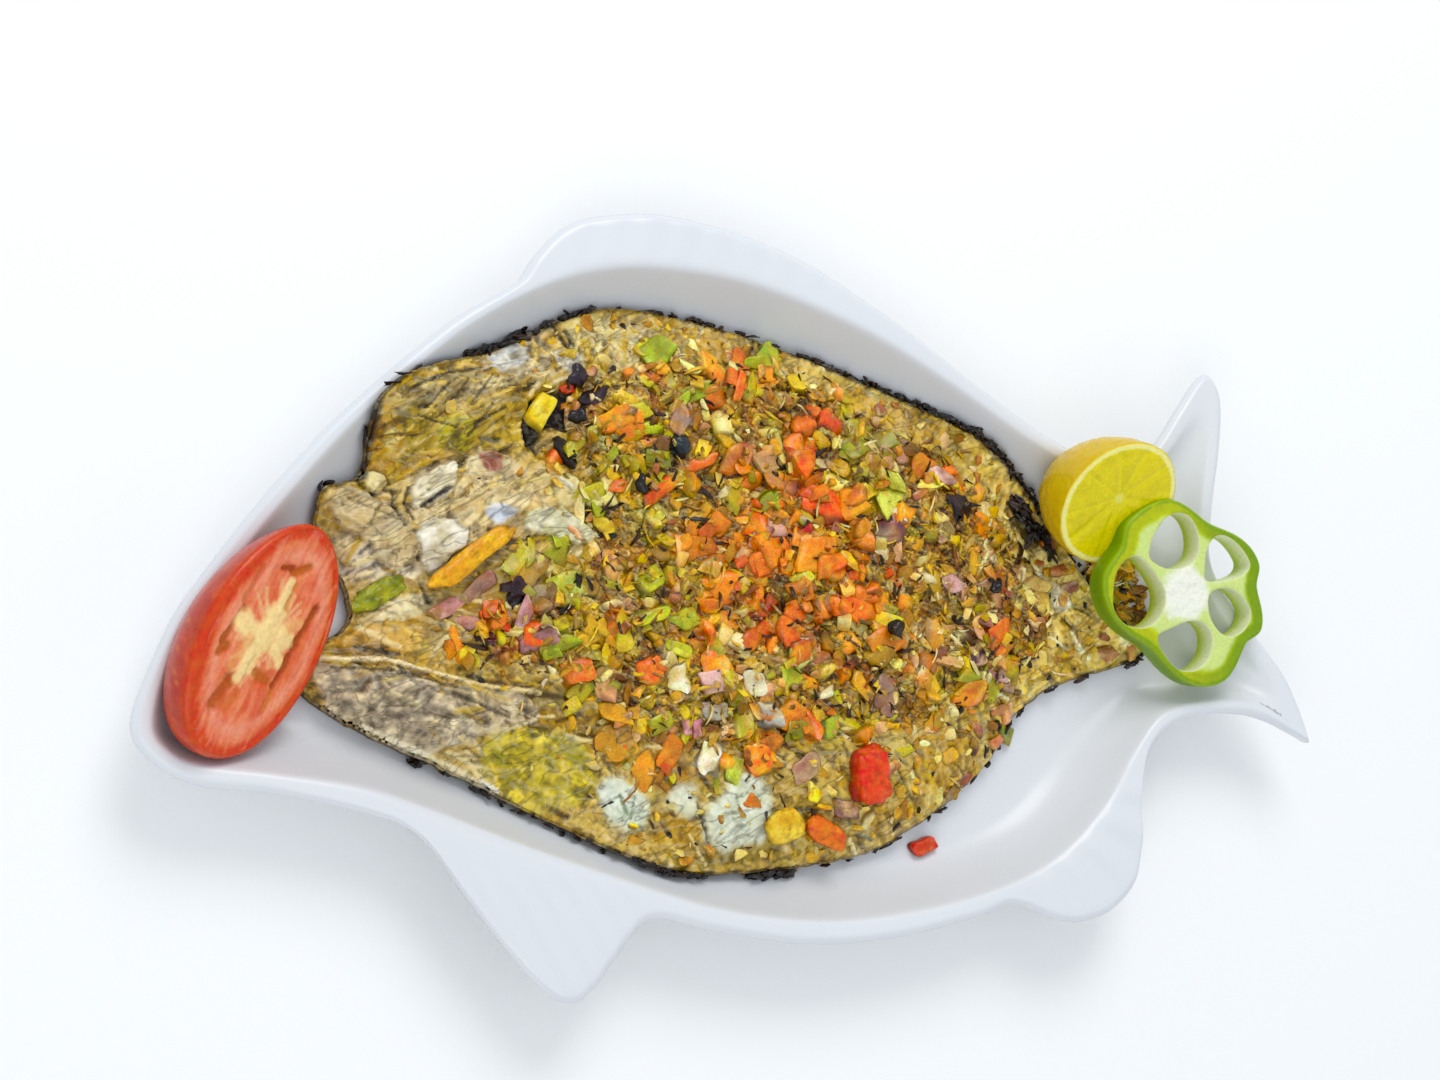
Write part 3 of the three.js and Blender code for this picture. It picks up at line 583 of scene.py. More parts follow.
def draw_lines(tree, place, colour, turn, length_mm, width_mm, code, strength):
    """Thin wandering lines along a direction, laid over a colour."""
    stretch = tree.nodes.new("ShaderNodeMapping")
    stretch.vector_type = "TEXTURE"
    across = width_mm * MM
    set_inputs(stretch, Rotation=(0, 0, math.radians(turn)), Scale=(length_mm * MM, across, across))
    tree.links.new(place.outputs["Object"], stretch.inputs["Vector"])
    texture = set_inputs(tree.nodes.new("ShaderNodeTexNoise"), Scale=1, Detail=2, Distortion=0.9)
    tree.links.new(stretch.outputs["Vector"], texture.inputs["Vector"])
    centred = calculated(tree, texture.outputs["Fac"], "SUBTRACT", 0.5)
    blend = tree.nodes.new("ShaderNodeMix")
    blend.data_type = "RGBA"
    blend.inputs[MIX_OVER].default_value = (*linear(code), 1)
    distance = calculated(tree, centred, "ABSOLUTE")
    spread(tree, distance, blend.inputs["Factor"], strength, 0, (0, LINE_WIDTH))
    tree.links.new(colour, blend.inputs[MIX_UNDER])
    return blend.outputs[MIX_RESULT]


FOODS = {  # grain in mm, contrast, bumps, roughness, how much light goes in, wetness, vividness
    "fish": (1.6, 0.1, 0.2, 0.42, 0.08, 0.25, 1.08),
    "heap": (0.8, 0.35, 0.4, 0.45, 0.1, 0.2, 1.2),
    "chopped": (0.8, 0.2, 0.3, 0.34, 0.2, 0.35, 1.14),
    "tomato": (1.4, 0.1, 0.12, 0.3, 0.2, 0.15, 1.05),
    "lemon": (0.9, 0.08, 0.15, 0.3, 0.2, 0.1, 1.2),
    "pepper": (1.2, 0.07, 0.1, 0.36, 0.15, 0.04, 1.35),
    "loose": (1.4, 0.16, 0.25, 0.35, 0.2, 0.2, 1.1),
}


def food_material(name, food, lines=()):
    """Moist food: the piece's own colours, a finer mottle, lines, uneven gloss and a fine grain."""
    grain, contrast, bumps, roughness, flesh, wetness, vivid = FOODS[food]
    material, tree, shader = new_material(name)
    place = tree.nodes.new("ShaderNodeTexCoord")
    tint = tree.nodes.new("ShaderNodeAttribute")
    tint.attribute_name = "tint"
    mottle = noise_socket(tree, place, grain, 4)
    shade = set_inputs(tree.nodes.new("ShaderNodeHueSaturation"), Saturation=vivid)
    tree.links.new(tint.outputs["Color"], shade.inputs["Color"])
    spread(tree, mottle, shade.inputs["Value"], 1 - contrast, 1 + contrast)
    blotches = noise_socket(tree, place, grain * 2.3, 2)
    spread(tree, blotches, shade.inputs["Hue"], 0.5 - 0.06 * contrast, 0.5 + 0.06 * contrast)
    colour = shade.outputs["Color"]
    for row in lines:
        colour = draw_lines(tree, place, colour, *row)
    tree.links.new(colour, shader.inputs["Base Color"])
    patches = noise_socket(tree, place, grain * 4, 2)
    spread(tree, patches, shader.inputs["Roughness"], roughness * 0.65, roughness * 1.25)
    add_bumps(tree, shader, mottle, bumps, grain * 0.4)
    set_inputs(shader, Subsurface_Weight=flesh, Subsurface_Radius=(1.0, 0.45, 0.2), Subsurface_Scale=2 * MM)
    set_inputs(shader, Specular_IOR_Level=0.25, Coat_Weight=wetness, Coat_Roughness=0.18)
    return material


def melamine():
    """Glossy white plastic with the faintest unevenness of use."""
    material, tree, shader = new_material("white_melamine")
    place = tree.nodes.new("ShaderNodeTexCoord")
    wear = noise_socket(tree, place, 45, 1)
    ramp = tree.nodes.new("ShaderNodeValToRGB")
    for element, code in zip(ramp.color_ramp.elements, ("E0E2E6", "E3E5E9")):
        element.color = (*linear(code), 1)
    tree.links.new(wear, ramp.inputs["Fac"])
    tree.links.new(ramp.outputs["Color"], shader.inputs["Base Color"])
    spread(tree, wear, shader.inputs["Roughness"], 0.24, 0.3, (0, 1))
    add_bumps(tree, shader, noise_socket(tree, place, 5, 2), 0.01, 0.1)
    return material


# ---- painting on points: each function changes the colours and heights it is given ----


def draw_patches(colours, height, x, y, rows, seed):
    """Soft oval patches: x, y, half sizes, turn, height, colour, strength."""
    for number, (*place, lift, code, strength) in enumerate(rows):
        edge = oval(x, y, *place)
        near = edge < 1.7
        edge = edge[near] + 0.3 * rough(x[near], y[near], 5, seed + number)
        share = smooth(-edge, -1.2, -0.7)
        height[near] += lift * share
        colours[near] = tinted(colours[near], code, strength * share)


def draw_strokes(colours, height, x, y, rows, seed, room=None):
    """Lines: two ends, half width, height, colour, strength; `room` is where they may be."""
    for number, (*ends, half_width, lift, code, strength) in enumerate(rows):
        distance = stroke_distance(x, y, *ends) / half_width
        near = distance < 2.5
        distance = distance[near] + 0.45 * rough(x[near], y[near], 3.5, seed + number)
        share = smooth(-distance, -1.25, -0.5)
        if room is not None:
            share = share * room[near]
        height[near] += lift * share
        colours[near] = tinted(colours[near], code, strength * share)


def draw_plates(colours, height, x, y, rows, seed, crest):
    """Firm-edged plates; gives how calm the surface is at each point."""
    calm = np.zeros(len(x))
    for number, (rise, rim, code, second, line, stillness, corners) in enumerate(rows):
        loop = rounded(corners)
        low, high = loop.min(0) - 3, loop.max(0) + 3
        near = (x > low[0]) & (x < high[0]) & (y > low[1]) & (y < high[1])
        u, v = x[near], y[near]
        distance = distance_inside(loop, u, v) + 0.5 + 1.9 * rough(u, v, 5, seed + number)
        share = smooth(distance, -0.5, 0.8) if line > 0.2 else 0.9 * smooth(distance, -1.6, 3.0)
        edge = rim * np.exp(-(((distance - 0.9) / 0.7) ** 2))
        # Painted shade: a plate takes more of its second, mostly darker colour in the creases of the folds.
        tone = 0.35 + 1.2 * rough(u, v, 4, seed + 30 + number) + 0.5 * smooth(-crest[near], -0.5, 0)
        surface = shaded(code, second, np.clip(tone, 0, 1))
        broken = smooth(rough(u, v, 5, seed + 70), -0.5, 0.2)
        dark = line * np.exp(-(((distance + 0.5) / 0.6) ** 2)) * broken
        height[near] = height[near] * (1 - 0.55 * share) + rise * share + edge - 0.5 * dark
        colours[near] = mix(colours[near], surface, share[:, None])
        colours[near] = tinted(colours[near], "2E2414", 0.8 * dark)
        calm[near] = mix(calm[near], stillness, share)
    return calm


# ---- platter ----


def make_platter():
    stations = even_stations(SILHOUETTE, STATIONS, 1.6)
    outer = closed_curve(SILHOUETTE, STATIONS, stations) * OUTER_SHRINK
    rim = closed_curve(RIM, STATIONS, stations)
    keel = closed_curve(KEEL, STATIONS, stations)
    flange = np.hypot(*(rim - outer).T)[:, None]
    reach = np.hypot(*(keel - rim).T)[:, None]
    wall = well(rim[:, 0])[1][:, None]
    edge_z = RIM_Z - EDGE_DROP

    def flange_at(distance, furthest=1):
        """Points that far in from the outer edge."""
        return mix(outer, rim, np.clip(distance / flange, 0, furthest))

    def wall_at(share):
        """Points that share of the way down the wall."""
        return mix(rim, keel, np.minimum(share * wall * 1.1 / reach, 0.93 * share**0.5))

    def above(points):
        """Points on the upper surface, rounded down at the outer edge."""
        drop = 1.7 * (1 - smooth(np.hypot(*(points - outer).T), 0, 3.2)) ** 2
        return at_height(points, dish_top(*points.T) + fin_rays(*points.T) - drop)

    def below(points):
        """Points on the underside of the wall and the floor."""
        inward = sample(rim_inward, *points.T) + SHELL * 0.7
        depth, width = well(points[:, 0])
        return at_height(points, RIM_Z - SHELL - depth * bowl(inward / (width + 1)))

    loops = [below(keel)]
    loops += [below(wall_at(share)) for share in np.linspace(1, 0.05, 12)]
    loops += [at_height(flange_at(flange - SHELL * 0.7), RIM_Z - SHELL)]
    loops += [at_height(flange_at(flange * 0.5), RIM_Z - SHELL)]
    for inset, z in ((1.0, 0.2 - EDGE_FACE), (0.35, -EDGE_FACE), (0, 0.5 - EDGE_FACE), (0, -0.9)):
        loops.append(at_height(flange_at(inset), edge_z + z))
    loops += [above(flange_at(distance, 0.9)) for distance in (0.0, 0.5, 1.1, 1.9, 3.0)]
    loops += [above(mix(flange_at(3.0, 0.9), rim, share)) for share in np.linspace(0.1, 1, 9)]
    loops += [above(wall_at(share)) for share in np.linspace(0.03, 0.36, 9)]
    edge = loops[-1][:, :2]
    net = hex_points((-225, 225, -135, 130), 1.9, np.random.RandomState(2), 0.1)
    net = net[distance_inside(edge, *net.T) > 0.9]
    points = np.concatenate([*loops, at_height(net, dish_top(*net.T))])
    walls = ladders(0, len(outer), len(loops))[:, :: facing(outer)]
    well_faces = fill(edge, net) + (len(loops) - 1) * len(outer)
    triangles = np.concatenate([walls, fill(keel)[:, ::-1], well_faces])
    add_piece("platter_shell", points, triangles, melamine(), nodes=["platter"])


def make_foot():
    angle = np.linspace(0, 2 * math.pi, 160, endpoint=False)
    loops = []
    for inset, z in [*FOOT_PROFILE, FOOT_PROFILE[0]]:
        x = FOOT["x"] + (FOOT["radius_x"] - inset) * np.cos(angle)
        y = FOOT["y"] + (FOOT["radius_y"] - inset) * np.sin(angle)
        loops.append(at_height(np.column_stack([x, y]), z))
    triangles = ladders(0, len(angle), len(loops))[:, ::-1]
    white = bpy.data.materials["white_melamine"]
    add_piece("platter_foot", np.concatenate(loops), triangles, white)


make_platter()
make_foot()


# ---- fish ----

# Fine lines of the flesh: direction, length, width, colour, strength.
FLESH_LINES = [
    (22, 22, 6.5, "2A1C0A", 0.55),
    (-14, 24, 9, "F8F0D0", 0.16),
]

# Broad patches of the head and the flesh, as draw_patches takes them.
FISH_PATCHES = [
    (-98, 77, 27, 8, 12, 0.3, "A89C78", 0.9),
    (-116, 74, 13, 5, 28, 0.3, "7E7450", 0.8),
    (-90, 60, 17, 13, 10, 0.0, "BCA64C", 0.8),
    (-74, 85, 22, 7, 8, 0.4, "E2DAC8", 0.9),
    (-122, 60, 10, 8, 30, 0.4, "A8962E", 0.9),
    (-130, 57, 5, 9, 0, 0.2, "C79A24", 0.95),
    (-106, 60, 7, 6, 0, 1.0, "C4BE10", 1.0),
    (-116, 49, 10, 5, 30, 0.3, "C09C2C", 0.9),
    (-86, 60, 12, 10, 60, 0.4, "C8AE40", 0.8),
    (-128, 58.5, 2.4, 4.5, 10, 0.8, "EFE3A8", 0.95),
    (-112, 33, 40, 17, 14, 0.3, "F4E8D0", 0.95),
    (-84, 30, 20, 13, 20, 0.3, "F0DEB8", 0.85),
    (-44, 84, 18, 11, 30, 0.5, "F2ECCC", 0.9),
    (-66, 20, 12, 14, 0, 0.2, "C9B860", 0.7),
    (-80, 22, 14, 12, 0, 0.0, "B8982C", 0.6),
    (-138, 20, 11, 6, 10, -0.3, "F0ECF4", 1.0),
    (-128, 16, 8, 4.5, 10, 0.3, "F6F4F0", 1.0),
    (-130, 3, 14, 4, 10, 0.3, "F4F2E0", 1.0),
    (-118, -6, 10, 6, 0, 0.2, "B8A888", 0.8),
    (-140, -6, 17, 6, -6, 0.5, "D8B464", 0.95),
    (-143, -10, 12, 2.5, -10, 0.2, "8E6A24", 0.6),
    (-60, -48, 8, 7, 0, 0.0, "A08038", 0.7),
    (-88, -32, 16, 6, -5, 0.0, "8E8058", 0.8),
    (-80, -40, 18, 5, -5, 0.2, "A8862C", 0.8),
    (-55, -85, 15, 6, -15, 0.4, "D9C27A", 0.8),
    (-43, -82, 9, 6, -15, 0.6, "C09A24", 0.9),
    (-25, -93, 26, 3, 0, -0.2, "8A7A2C", 0.8),
    (-43, -59, 9, 9, 0, 0.4, "B4842C", 0.8),
    (22, -82, 6, 4, 0, 0.2, "6A4A40", 0.7),
    (-96, 12, 12, 6, 20, 0.5, "9A8430", 0.8),
    (-104, 3, 9, 5, 30, 0.4, "A88A50", 0.8),
    (-48, 92, 13, 9, 0, 0.4, "ECE4B0", 0.9),
    (-8, 89, 12, 6, 0, 0.3, "D2AC48", 0.8),
    (30, 77, 11, 8, -20, 0.3, "DCC47A", 0.8),
    (55, 59, 11, 8, -35, 0.3, "D2AC48", 0.8),
    (75, 52, 14, 6, -38, 0.3, "CFA63C", 0.8),
    (119, 9, 15, 6, -51, -0.6, "1E1E10", 0.95),
    (131, -33, 9, 5, -20, -0.3, "3A3818", 0.75),
    (118, -4, 12, 10, 0, 0.4, "DCCB90", 0.9),
    (108, -14, 8, 4, 0, 0.3, "D9907A", 0.7),
    (120, -32, 20, 12, -10, 0.0, "B08A2C", 0.6),
    (98, -55, 14, 10, -50, 0.0, "BC9436", 0.8),
    (70, -72, 18, 12, -35, 0.0, "C29A38", 0.8),
    (40, -86, 18, 8, -15, 0.0, "B89440", 0.7),
]
# Bone plates, skin and smooth flesh: rise, rim, two colours, how dark the line round them is,
# how calm their surface is, corners.
FISH_PLATES = [
    (1.6, 0.5, "E6D0A0", "C4A874", 0.7, 0.45,
     [(-149, 41.6), (-141.6, 44.8), (-134.8, 40.8), (-128, 35.8), (-124.2, 28.6), (-122.6, 20.5),
      (-119, 16.3), (-124.3, 17.5), (-132.8, 19.8), (-139.9, 26.8), (-146.2, 33.5)]),
    (0.9, 0.3, "DCDCD8", "B8B4A8", 0.4, 0.5,
     [(-86.7, 87.2), (-77.6, 90.7), (-73, 86.7), (-80.2, 81.9), (-87.7, 81.2)]),
    (0.8, 0.3, "E6E0D4", "BCB4A0", 0.4, 0.5, [(-64, 86), (-59, 88), (-56, 84), (-58, 80), (-62, 81)]),
    (0.6, 0.8, "9A8A68", "7A6C50", 0.6, 0.2, [(-72, 91), (-67, 90), (-66, 85), (-71, 84), (-74, 87)]),
    (2.2, 0.4, "FAF0D4", "E8D8AC", 0.7, 0.75,
     [(-121.8, 43.1), (-115.1, 47.3), (-106.5, 50.4), (-105.9, 46), (-108.9, 41), (-115.9, 37.5),
      (-122, 37)]),
    (2.0, 0.4, "F6EEDA", "DED0A8", 0.7, 0.75,
     [(-121.5, 28.5), (-116.9, 30.7), (-110.1, 30.9), (-105.2, 28), (-106.8, 22.2), (-110.8, 18.7),
      (-116.5, 15.3), (-121, 20.4)]),
    (1.8, 0.5, "F6E0A8", "D8B878", 0.7, 0.6,
     [(-109.2, 35.3), (-104.1, 38.1), (-96.6, 39.4), (-88.9, 40), (-80.6, 36.7), (-83.9, 33.4),
      (-90.3, 31.4), (-95.3, 33.5), (-101.3, 29.5), (-106.6, 29.9)]),
    (1.3, 0.1, "E4E8EC", "C4C8D0", 0.4, 0.7, [(-97.2, 33.5), (-90, 33.9), (-86.9, 31.1), (-93.3, 29)]),
    (1.6, 0.7, "F2E0B0", "D0B474", 0.6, 0.6,
     [(-102.9, 50.2), (-96.4, 53.3), (-88.7, 52.6), (-88.6, 46.6), (-94.7, 45.4), (-103, 45)]),
    (0.5, 0.4, "B87868", "9A5A44", 0.5, 0.6, [(-96, 52), (-91, 52), (-90, 47), (-95, 47)]),
    (2.4, 0.3, "EEDCA0", "C8A860", 0.9, 0.6, [(-137, 47), (-133, 49.5), (-130, 46), (-133, 43)]),
    (1.6, 0.4, "F0E0A0", "CCAE5C", 0.6, 0.5,
     [(-71, 40), (-66, 43), (-62, 38), (-62, 30), (-66, 27), (-71, 33)]),
    (1.4, 0.3, "EEE8C8", "C8C08C", 0.5, 0.5,
     [(-84, 30), (-76, 33), (-66, 28), (-60, 22), (-67, 20), (-76, 24), (-84, 25)]),
    (-3.4, 0.6, "1C1216", "2E1C22", 0.7, 0.9,
     [(-76.7, 70.1), (-70.2, 72), (-60, 74.9), (-53.9, 76), (-52, 70), (-51, 64.7), (-57.1, 59.8),
      (-63.3, 59), (-67.5, 62.1), (-72.1, 61), (-74.8, 55.5), (-78.5, 54.9), (-78.8, 63.6)]),
    (1.0, 0.3, "D6C8AE", "A09282", 0.5, 0.3,
     [(-159, -12.5), (-138.9, -16.4), (-118.6, -25.4), (-110.1, -33), (-112.2, -43.8), (-119.7, -43),
      (-129.9, -46.7), (-141.7, -37.1), (-152.5, -29.4), (-160.1, -20)]),
    (0.9, 0.4, "CCBC9C", "8E7E68", 0.5, 0.3,
     [(-117, -26), (-106, -27), (-92, -30), (-88, -36), (-97, -40), (-110, -40)]),
    (0.8, 0.2, "D8C040", "9E9420", 0.1, 0.55,
     [(-107.7, -42.5), (-97, -41), (-81.9, -43.3), (-72.9, -48.9), (-68.8, -60), (-73.4, -67),
      (-80.9, -69), (-91.7, -69.4), (-101.8, -63.4), (-108.9, -55.9)]),
    (1.2, 0.0, "ECF4E4", "D4DEC4", 0.1, 0.8,
     [(-70.5, -66.5), (-65.8, -61.3), (-58.6, -62.1), (-53.4, -68.6), (-52.7, -75.4), (-59.3, -80.3),
      (-65.6, -75.6)]),
    (1.0, 0.0, "ECEED6", "DCDEBC", 0.1, 0.8, [(-45, -69.6), (-36, -65.8), (-32.8, -74), (-38.1, -78)]),
    (1.3, 0.0, "EEF4E0", "D8DEC0", 0.15, 0.8,
     [(-32.3, -78), (-22.7, -69.4), (-15.7, -65.3), (-6.8, -71.1), (-6.4, -81.2), (-9.4, -88.6),
      (-15.6, -90.7), (-29.4, -89)]),
    (1.5, 0.5, "C89848", "A07430", 0.8, 0.5, [(-66, -44), (-59, -42), (-55, -47), (-58, -55), (-65, -54)]),
    (0.8, 0.2, "FFF6D8", "E4D49C", 0.3, 0.8, [(112, -6), (120, -5), (130, -13), (128, -19), (115, -15)]),
]
# Bone ridges, folds and slits, as draw_strokes takes them.
FISH_STROKES = [
    (-121, 70, -112, 76, 0.6, 0.7, "A89A74", 0.8),
    (-116, 68, -107, 76, 0.6, -0.7, "3A3020", 0.85),
    (-112, 68, -103, 77, 0.6, 0.7, "A89A74", 0.8),
    (-108, 68, -99, 78, 0.6, -0.7, "3A3020", 0.85),
    (-103, 69, -94, 78, 0.6, 0.7, "B4A480", 0.8),
    (-99, 69, -90, 79, 0.5, -0.6, "4A3E28", 0.8),
    (-94, 70, -86, 78, 0.6, 0.6, "BCA878", 0.8),
    (-120, 75, -105, 80.5, 0.7, -0.5, "1E1810", 0.9),
    (-105, 80.5, -93, 82, 0.6, -0.5, "2A2014", 0.85),
    (-119.6, 36.4, -115.9, 38, 0.8, -1.4, "1E1812", 0.95),
    (-115.9, 38, -109.8, 41.5, 0.9, -1.6, "1E1812", 0.95),
    (-124.2, 44.2, -126.7, 38.4, 1.1, 1.3, "DCCB98", 0.95),
    (-126.7, 38.4, -124.6, 32, 1.1, 1.3, "D8C48C", 0.95),
    (-124.6, 32, -121.5, 28.5, 1.0, 1.1, "D8C48C", 0.95),
    (-127.6, 43, -128.8, 37, 0.5, -1.0, "3A2E1A", 0.9),
    (-128.8, 37, -126, 30, 0.5, -1.0, "3A2E1A", 0.9),
    (-122.4, 43, -124.6, 38, 0.5, -0.9, "3A2E1A", 0.9),
    (-124.6, 38, -122.6, 32, 0.5, -0.9, "3A2E1A", 0.9),
    (-138, 31, -133, 38, 0.5, -0.8, "5A4A2C", 0.8),
    (-146, 36, -126, 22, 0.6, 0.5, "D8C68E", 0.7),
    (-143, 41, -127, 32, 0.5, -0.5, "7A6638", 0.7),
    (-98.4, 40.3, -85.2, 42.3, 0.7, 1.0, "EADFAE", 0.9),
    (-85.2, 42.3, -71, 42.9, 0.7, 1.0, "E4D69A", 0.9),
    (-71, 42.9, -66.1, 39.1, 0.7, 0.9, "E9E2C4", 0.9),
    (-78, 62, -76, 52, 1.2, -1.0, "1E1612", 0.9),
    (-66.1, 76.2, -55.5, 79.5, 0.8, 1.0, "E8E2CC", 0.9),
    (-158, -10.2, -138.1, -13.2, 0.9, 1.4, "FCF6E4", 1.0),
    (-138.1, -13.2, -124.2, -18.5, 0.85, 1.3, "FAF2DC", 1.0),
    (-124.2, -18.5, -109.3, -24, 0.8, 1.2, "F6ECD0", 1.0),
    (-109.3, -24, -86, -29.6, 0.75, 1.0, "F0E4C0", 1.0),
    (-155, -13.8, -137, -17, 0.6, -0.8, "4E4430", 0.85),
    (-137, -17, -112, -26.6, 0.6, -0.8, "4E4430", 0.85),
    (-138.5, -24.2, -129.9, -29.9, 0.7, 0.9, "D8CCA4", 0.9),
    (-102.8, -41.2, -89.6, -38.6, 0.6, 0.8, "E0D4B0", 0.9),
    (-118, -27, -100, -37, 0.6, -0.6, "3E3422", 0.8),
    (-146, -34.4, -130, -43.6, 1.3, 0.9, "F4ECD4", 0.95),
    (-130, -43.6, -117.6, -51.2, 1.5, 0.9, "F6F0DA", 0.95),
    (-117.6, -51.2, -104, -60.4, 1.5, 0.8, "FAF6E8", 0.95),
    (-76, -31, -65, -34, 0.8, -0.7, "241A12", 0.9),
    (-122, -14, -116.5, -8, 0.9, 0.9, "E6DCC0", 0.95),
    (-121.5, 11, -118.6, 4, 0.8, -0.6, "2E2212", 0.8),
    (-132, 0, -106, 6, 0.8, 0.6, "C9C2A0", 0.8),
    (-48, -40, 20, -41, 1.0, -1.2, "241A10", 0.9),
    (-8, -50, 10, -62, 0.9, -1.0, "241A10", 0.85),
    (-33.8, -73, -32.4, -81, 0.7, -1.2, "3A3A24", 0.95),
    (-32.4, -81, -30.6, -89, 0.7, -1.2, "3A3A24", 0.95),
    (-62, -67, -60, -73, 0.8, -0.3, "4A6A44", 0.7),
    (-57, -68, -59, -75, 0.5, -0.3, "5A7A50", 0.6),
    (-20, -72, -18, -84, 0.5, -0.3, "A8B098", 0.6),
    (-70, -57, -68, -47, 0.6, -0.8, "3E2E14", 0.85),
]
# Where the surface is grainy: x, y, half sizes, turn.
GRAINY = [
    (-136, -29, 28, 15, -20),
    (-100, -34, 16, 8, -10),
    (-88, -57, 24, 15, -20),
    (-70, 86, 20, 8, 8),
]
CHAR_RUNS = [  # first and last station of the fish's outline, how far in, width, crumbs a millimetre
    (5.0, 5.4, 0.3, 1.4, 1.0),
    (6.0, 8.0, 0.9, 2.4, 0.3),
    (8.2, 9.0, 0.5, 1.4, 0.5),
    (9.0, 9.7, 0.5, 0.6, 0.15),
    (9.7, 10.4, -0.2, 2.2, 2.6),
    (10.4, 11.0, 0.2, 1.4, 1.8),
    (11.0, 12.1, 0.4, 0.7, 0.9),
    (12.1, 12.3, -0.4, 2.0, 3.0),
    (12.3, 13.0, 0.4, 0.7, 0.7),
    (13.0, 13.4, 0.4, 1.4, 1.6),
    (13.4, 14.4, -0.2, 2.2, 2.4),
    (14.4, 15.4, 0.2, 2.6, 2.6),
    (15.35, 16.4, 8.5, 3.8, 4.0),
    (15.4, 16.0, 0.8, 2.4, 2.2),
    (16.0, 18.0, 0.4, 1.2, 0.7),
    (18.0, 20.0, 0.5, 1.3, 1.2),
    (20.0, 22.0, 0.6, 0.8, 0.9),
    (22.0, 24.4, 0.3, 0.7, 0.6),
    (24.4, 24.65, -0.6, 2.4, 3.4),
    (24.65, 25.3, 0.2, 1.2, 1.4),
    (25.3, 26.2, 0.2, 1.2, 1.3),
    (26.2, 27.1, 0.0, 0.8, 0.9),
    (27.1, 27.4, -0.3, 1.0, 1.4),
    (27.4, 28.2, -0.4, 0.4, 0.3),
]


def edge_points(stations, inset):
    """Points of the fish's outline, moved inwards."""
    here = closed_curve(FISH_OUTLINE, FISH_STATIONS, stations)
    ahead = closed_curve(FISH_OUTLINE, FISH_STATIONS, np.asarray(stations) + 0.03)
    run = (ahead - here) / np.hypot(*(ahead - here).T)[:, None]
    return here + np.column_stack([run[:, 1], -run[:, 0]]) * inset


STROKE_FIELDS = [  # how many, x range, y range, turn
    (170, (-150, -55), (14, 94), 24),
    (110, (-158, -70), (-66, 6), -22),
    (90, (-60, 60), (62, 98), 70),
    (110, (-60, 110), (-98, -45), -48),
    (40, (70, 150), (-45, 40), -35),
]
STROKE_COLOURS = ("FAF0CC", "E8D080", "4A3818", "1C140A", "D0B02C", "A8862C")
CREASES = (2, 3)  # which of them are sunk in


def random_strokes():
    """Short creases and fibres that run with the flesh."""
    random = np.random.RandomState(41)
    rows = []
    for count, range_x, range_y, turn in STROKE_FIELDS:
        for _ in range(count):
            x, y = random.uniform(*range_x), random.uniform(*range_y)
            angle = math.radians(turn + random.normal(0, 22))
            length = random.uniform(4, 15)
            pick = random.randint(len(STROKE_COLOURS))
            lift = -0.7 if pick in CREASES else 0.6
            end = (x + length * math.cos(angle), y + length * math.sin(angle))
            rows.append((x, y, *end, random.uniform(0.4, 1.1), lift, STROKE_COLOURS[pick], 0.85))
    return rows


HEAD_WARMTH = np.array((0.98, 0.87, 0.62))  # what the flesh's colours are multiplied by
BODY_WARMTH = np.array((1.1, 1.04, 0.84))
TAIL_WARMTH = np.array((1.5, 1.46, 1.2))


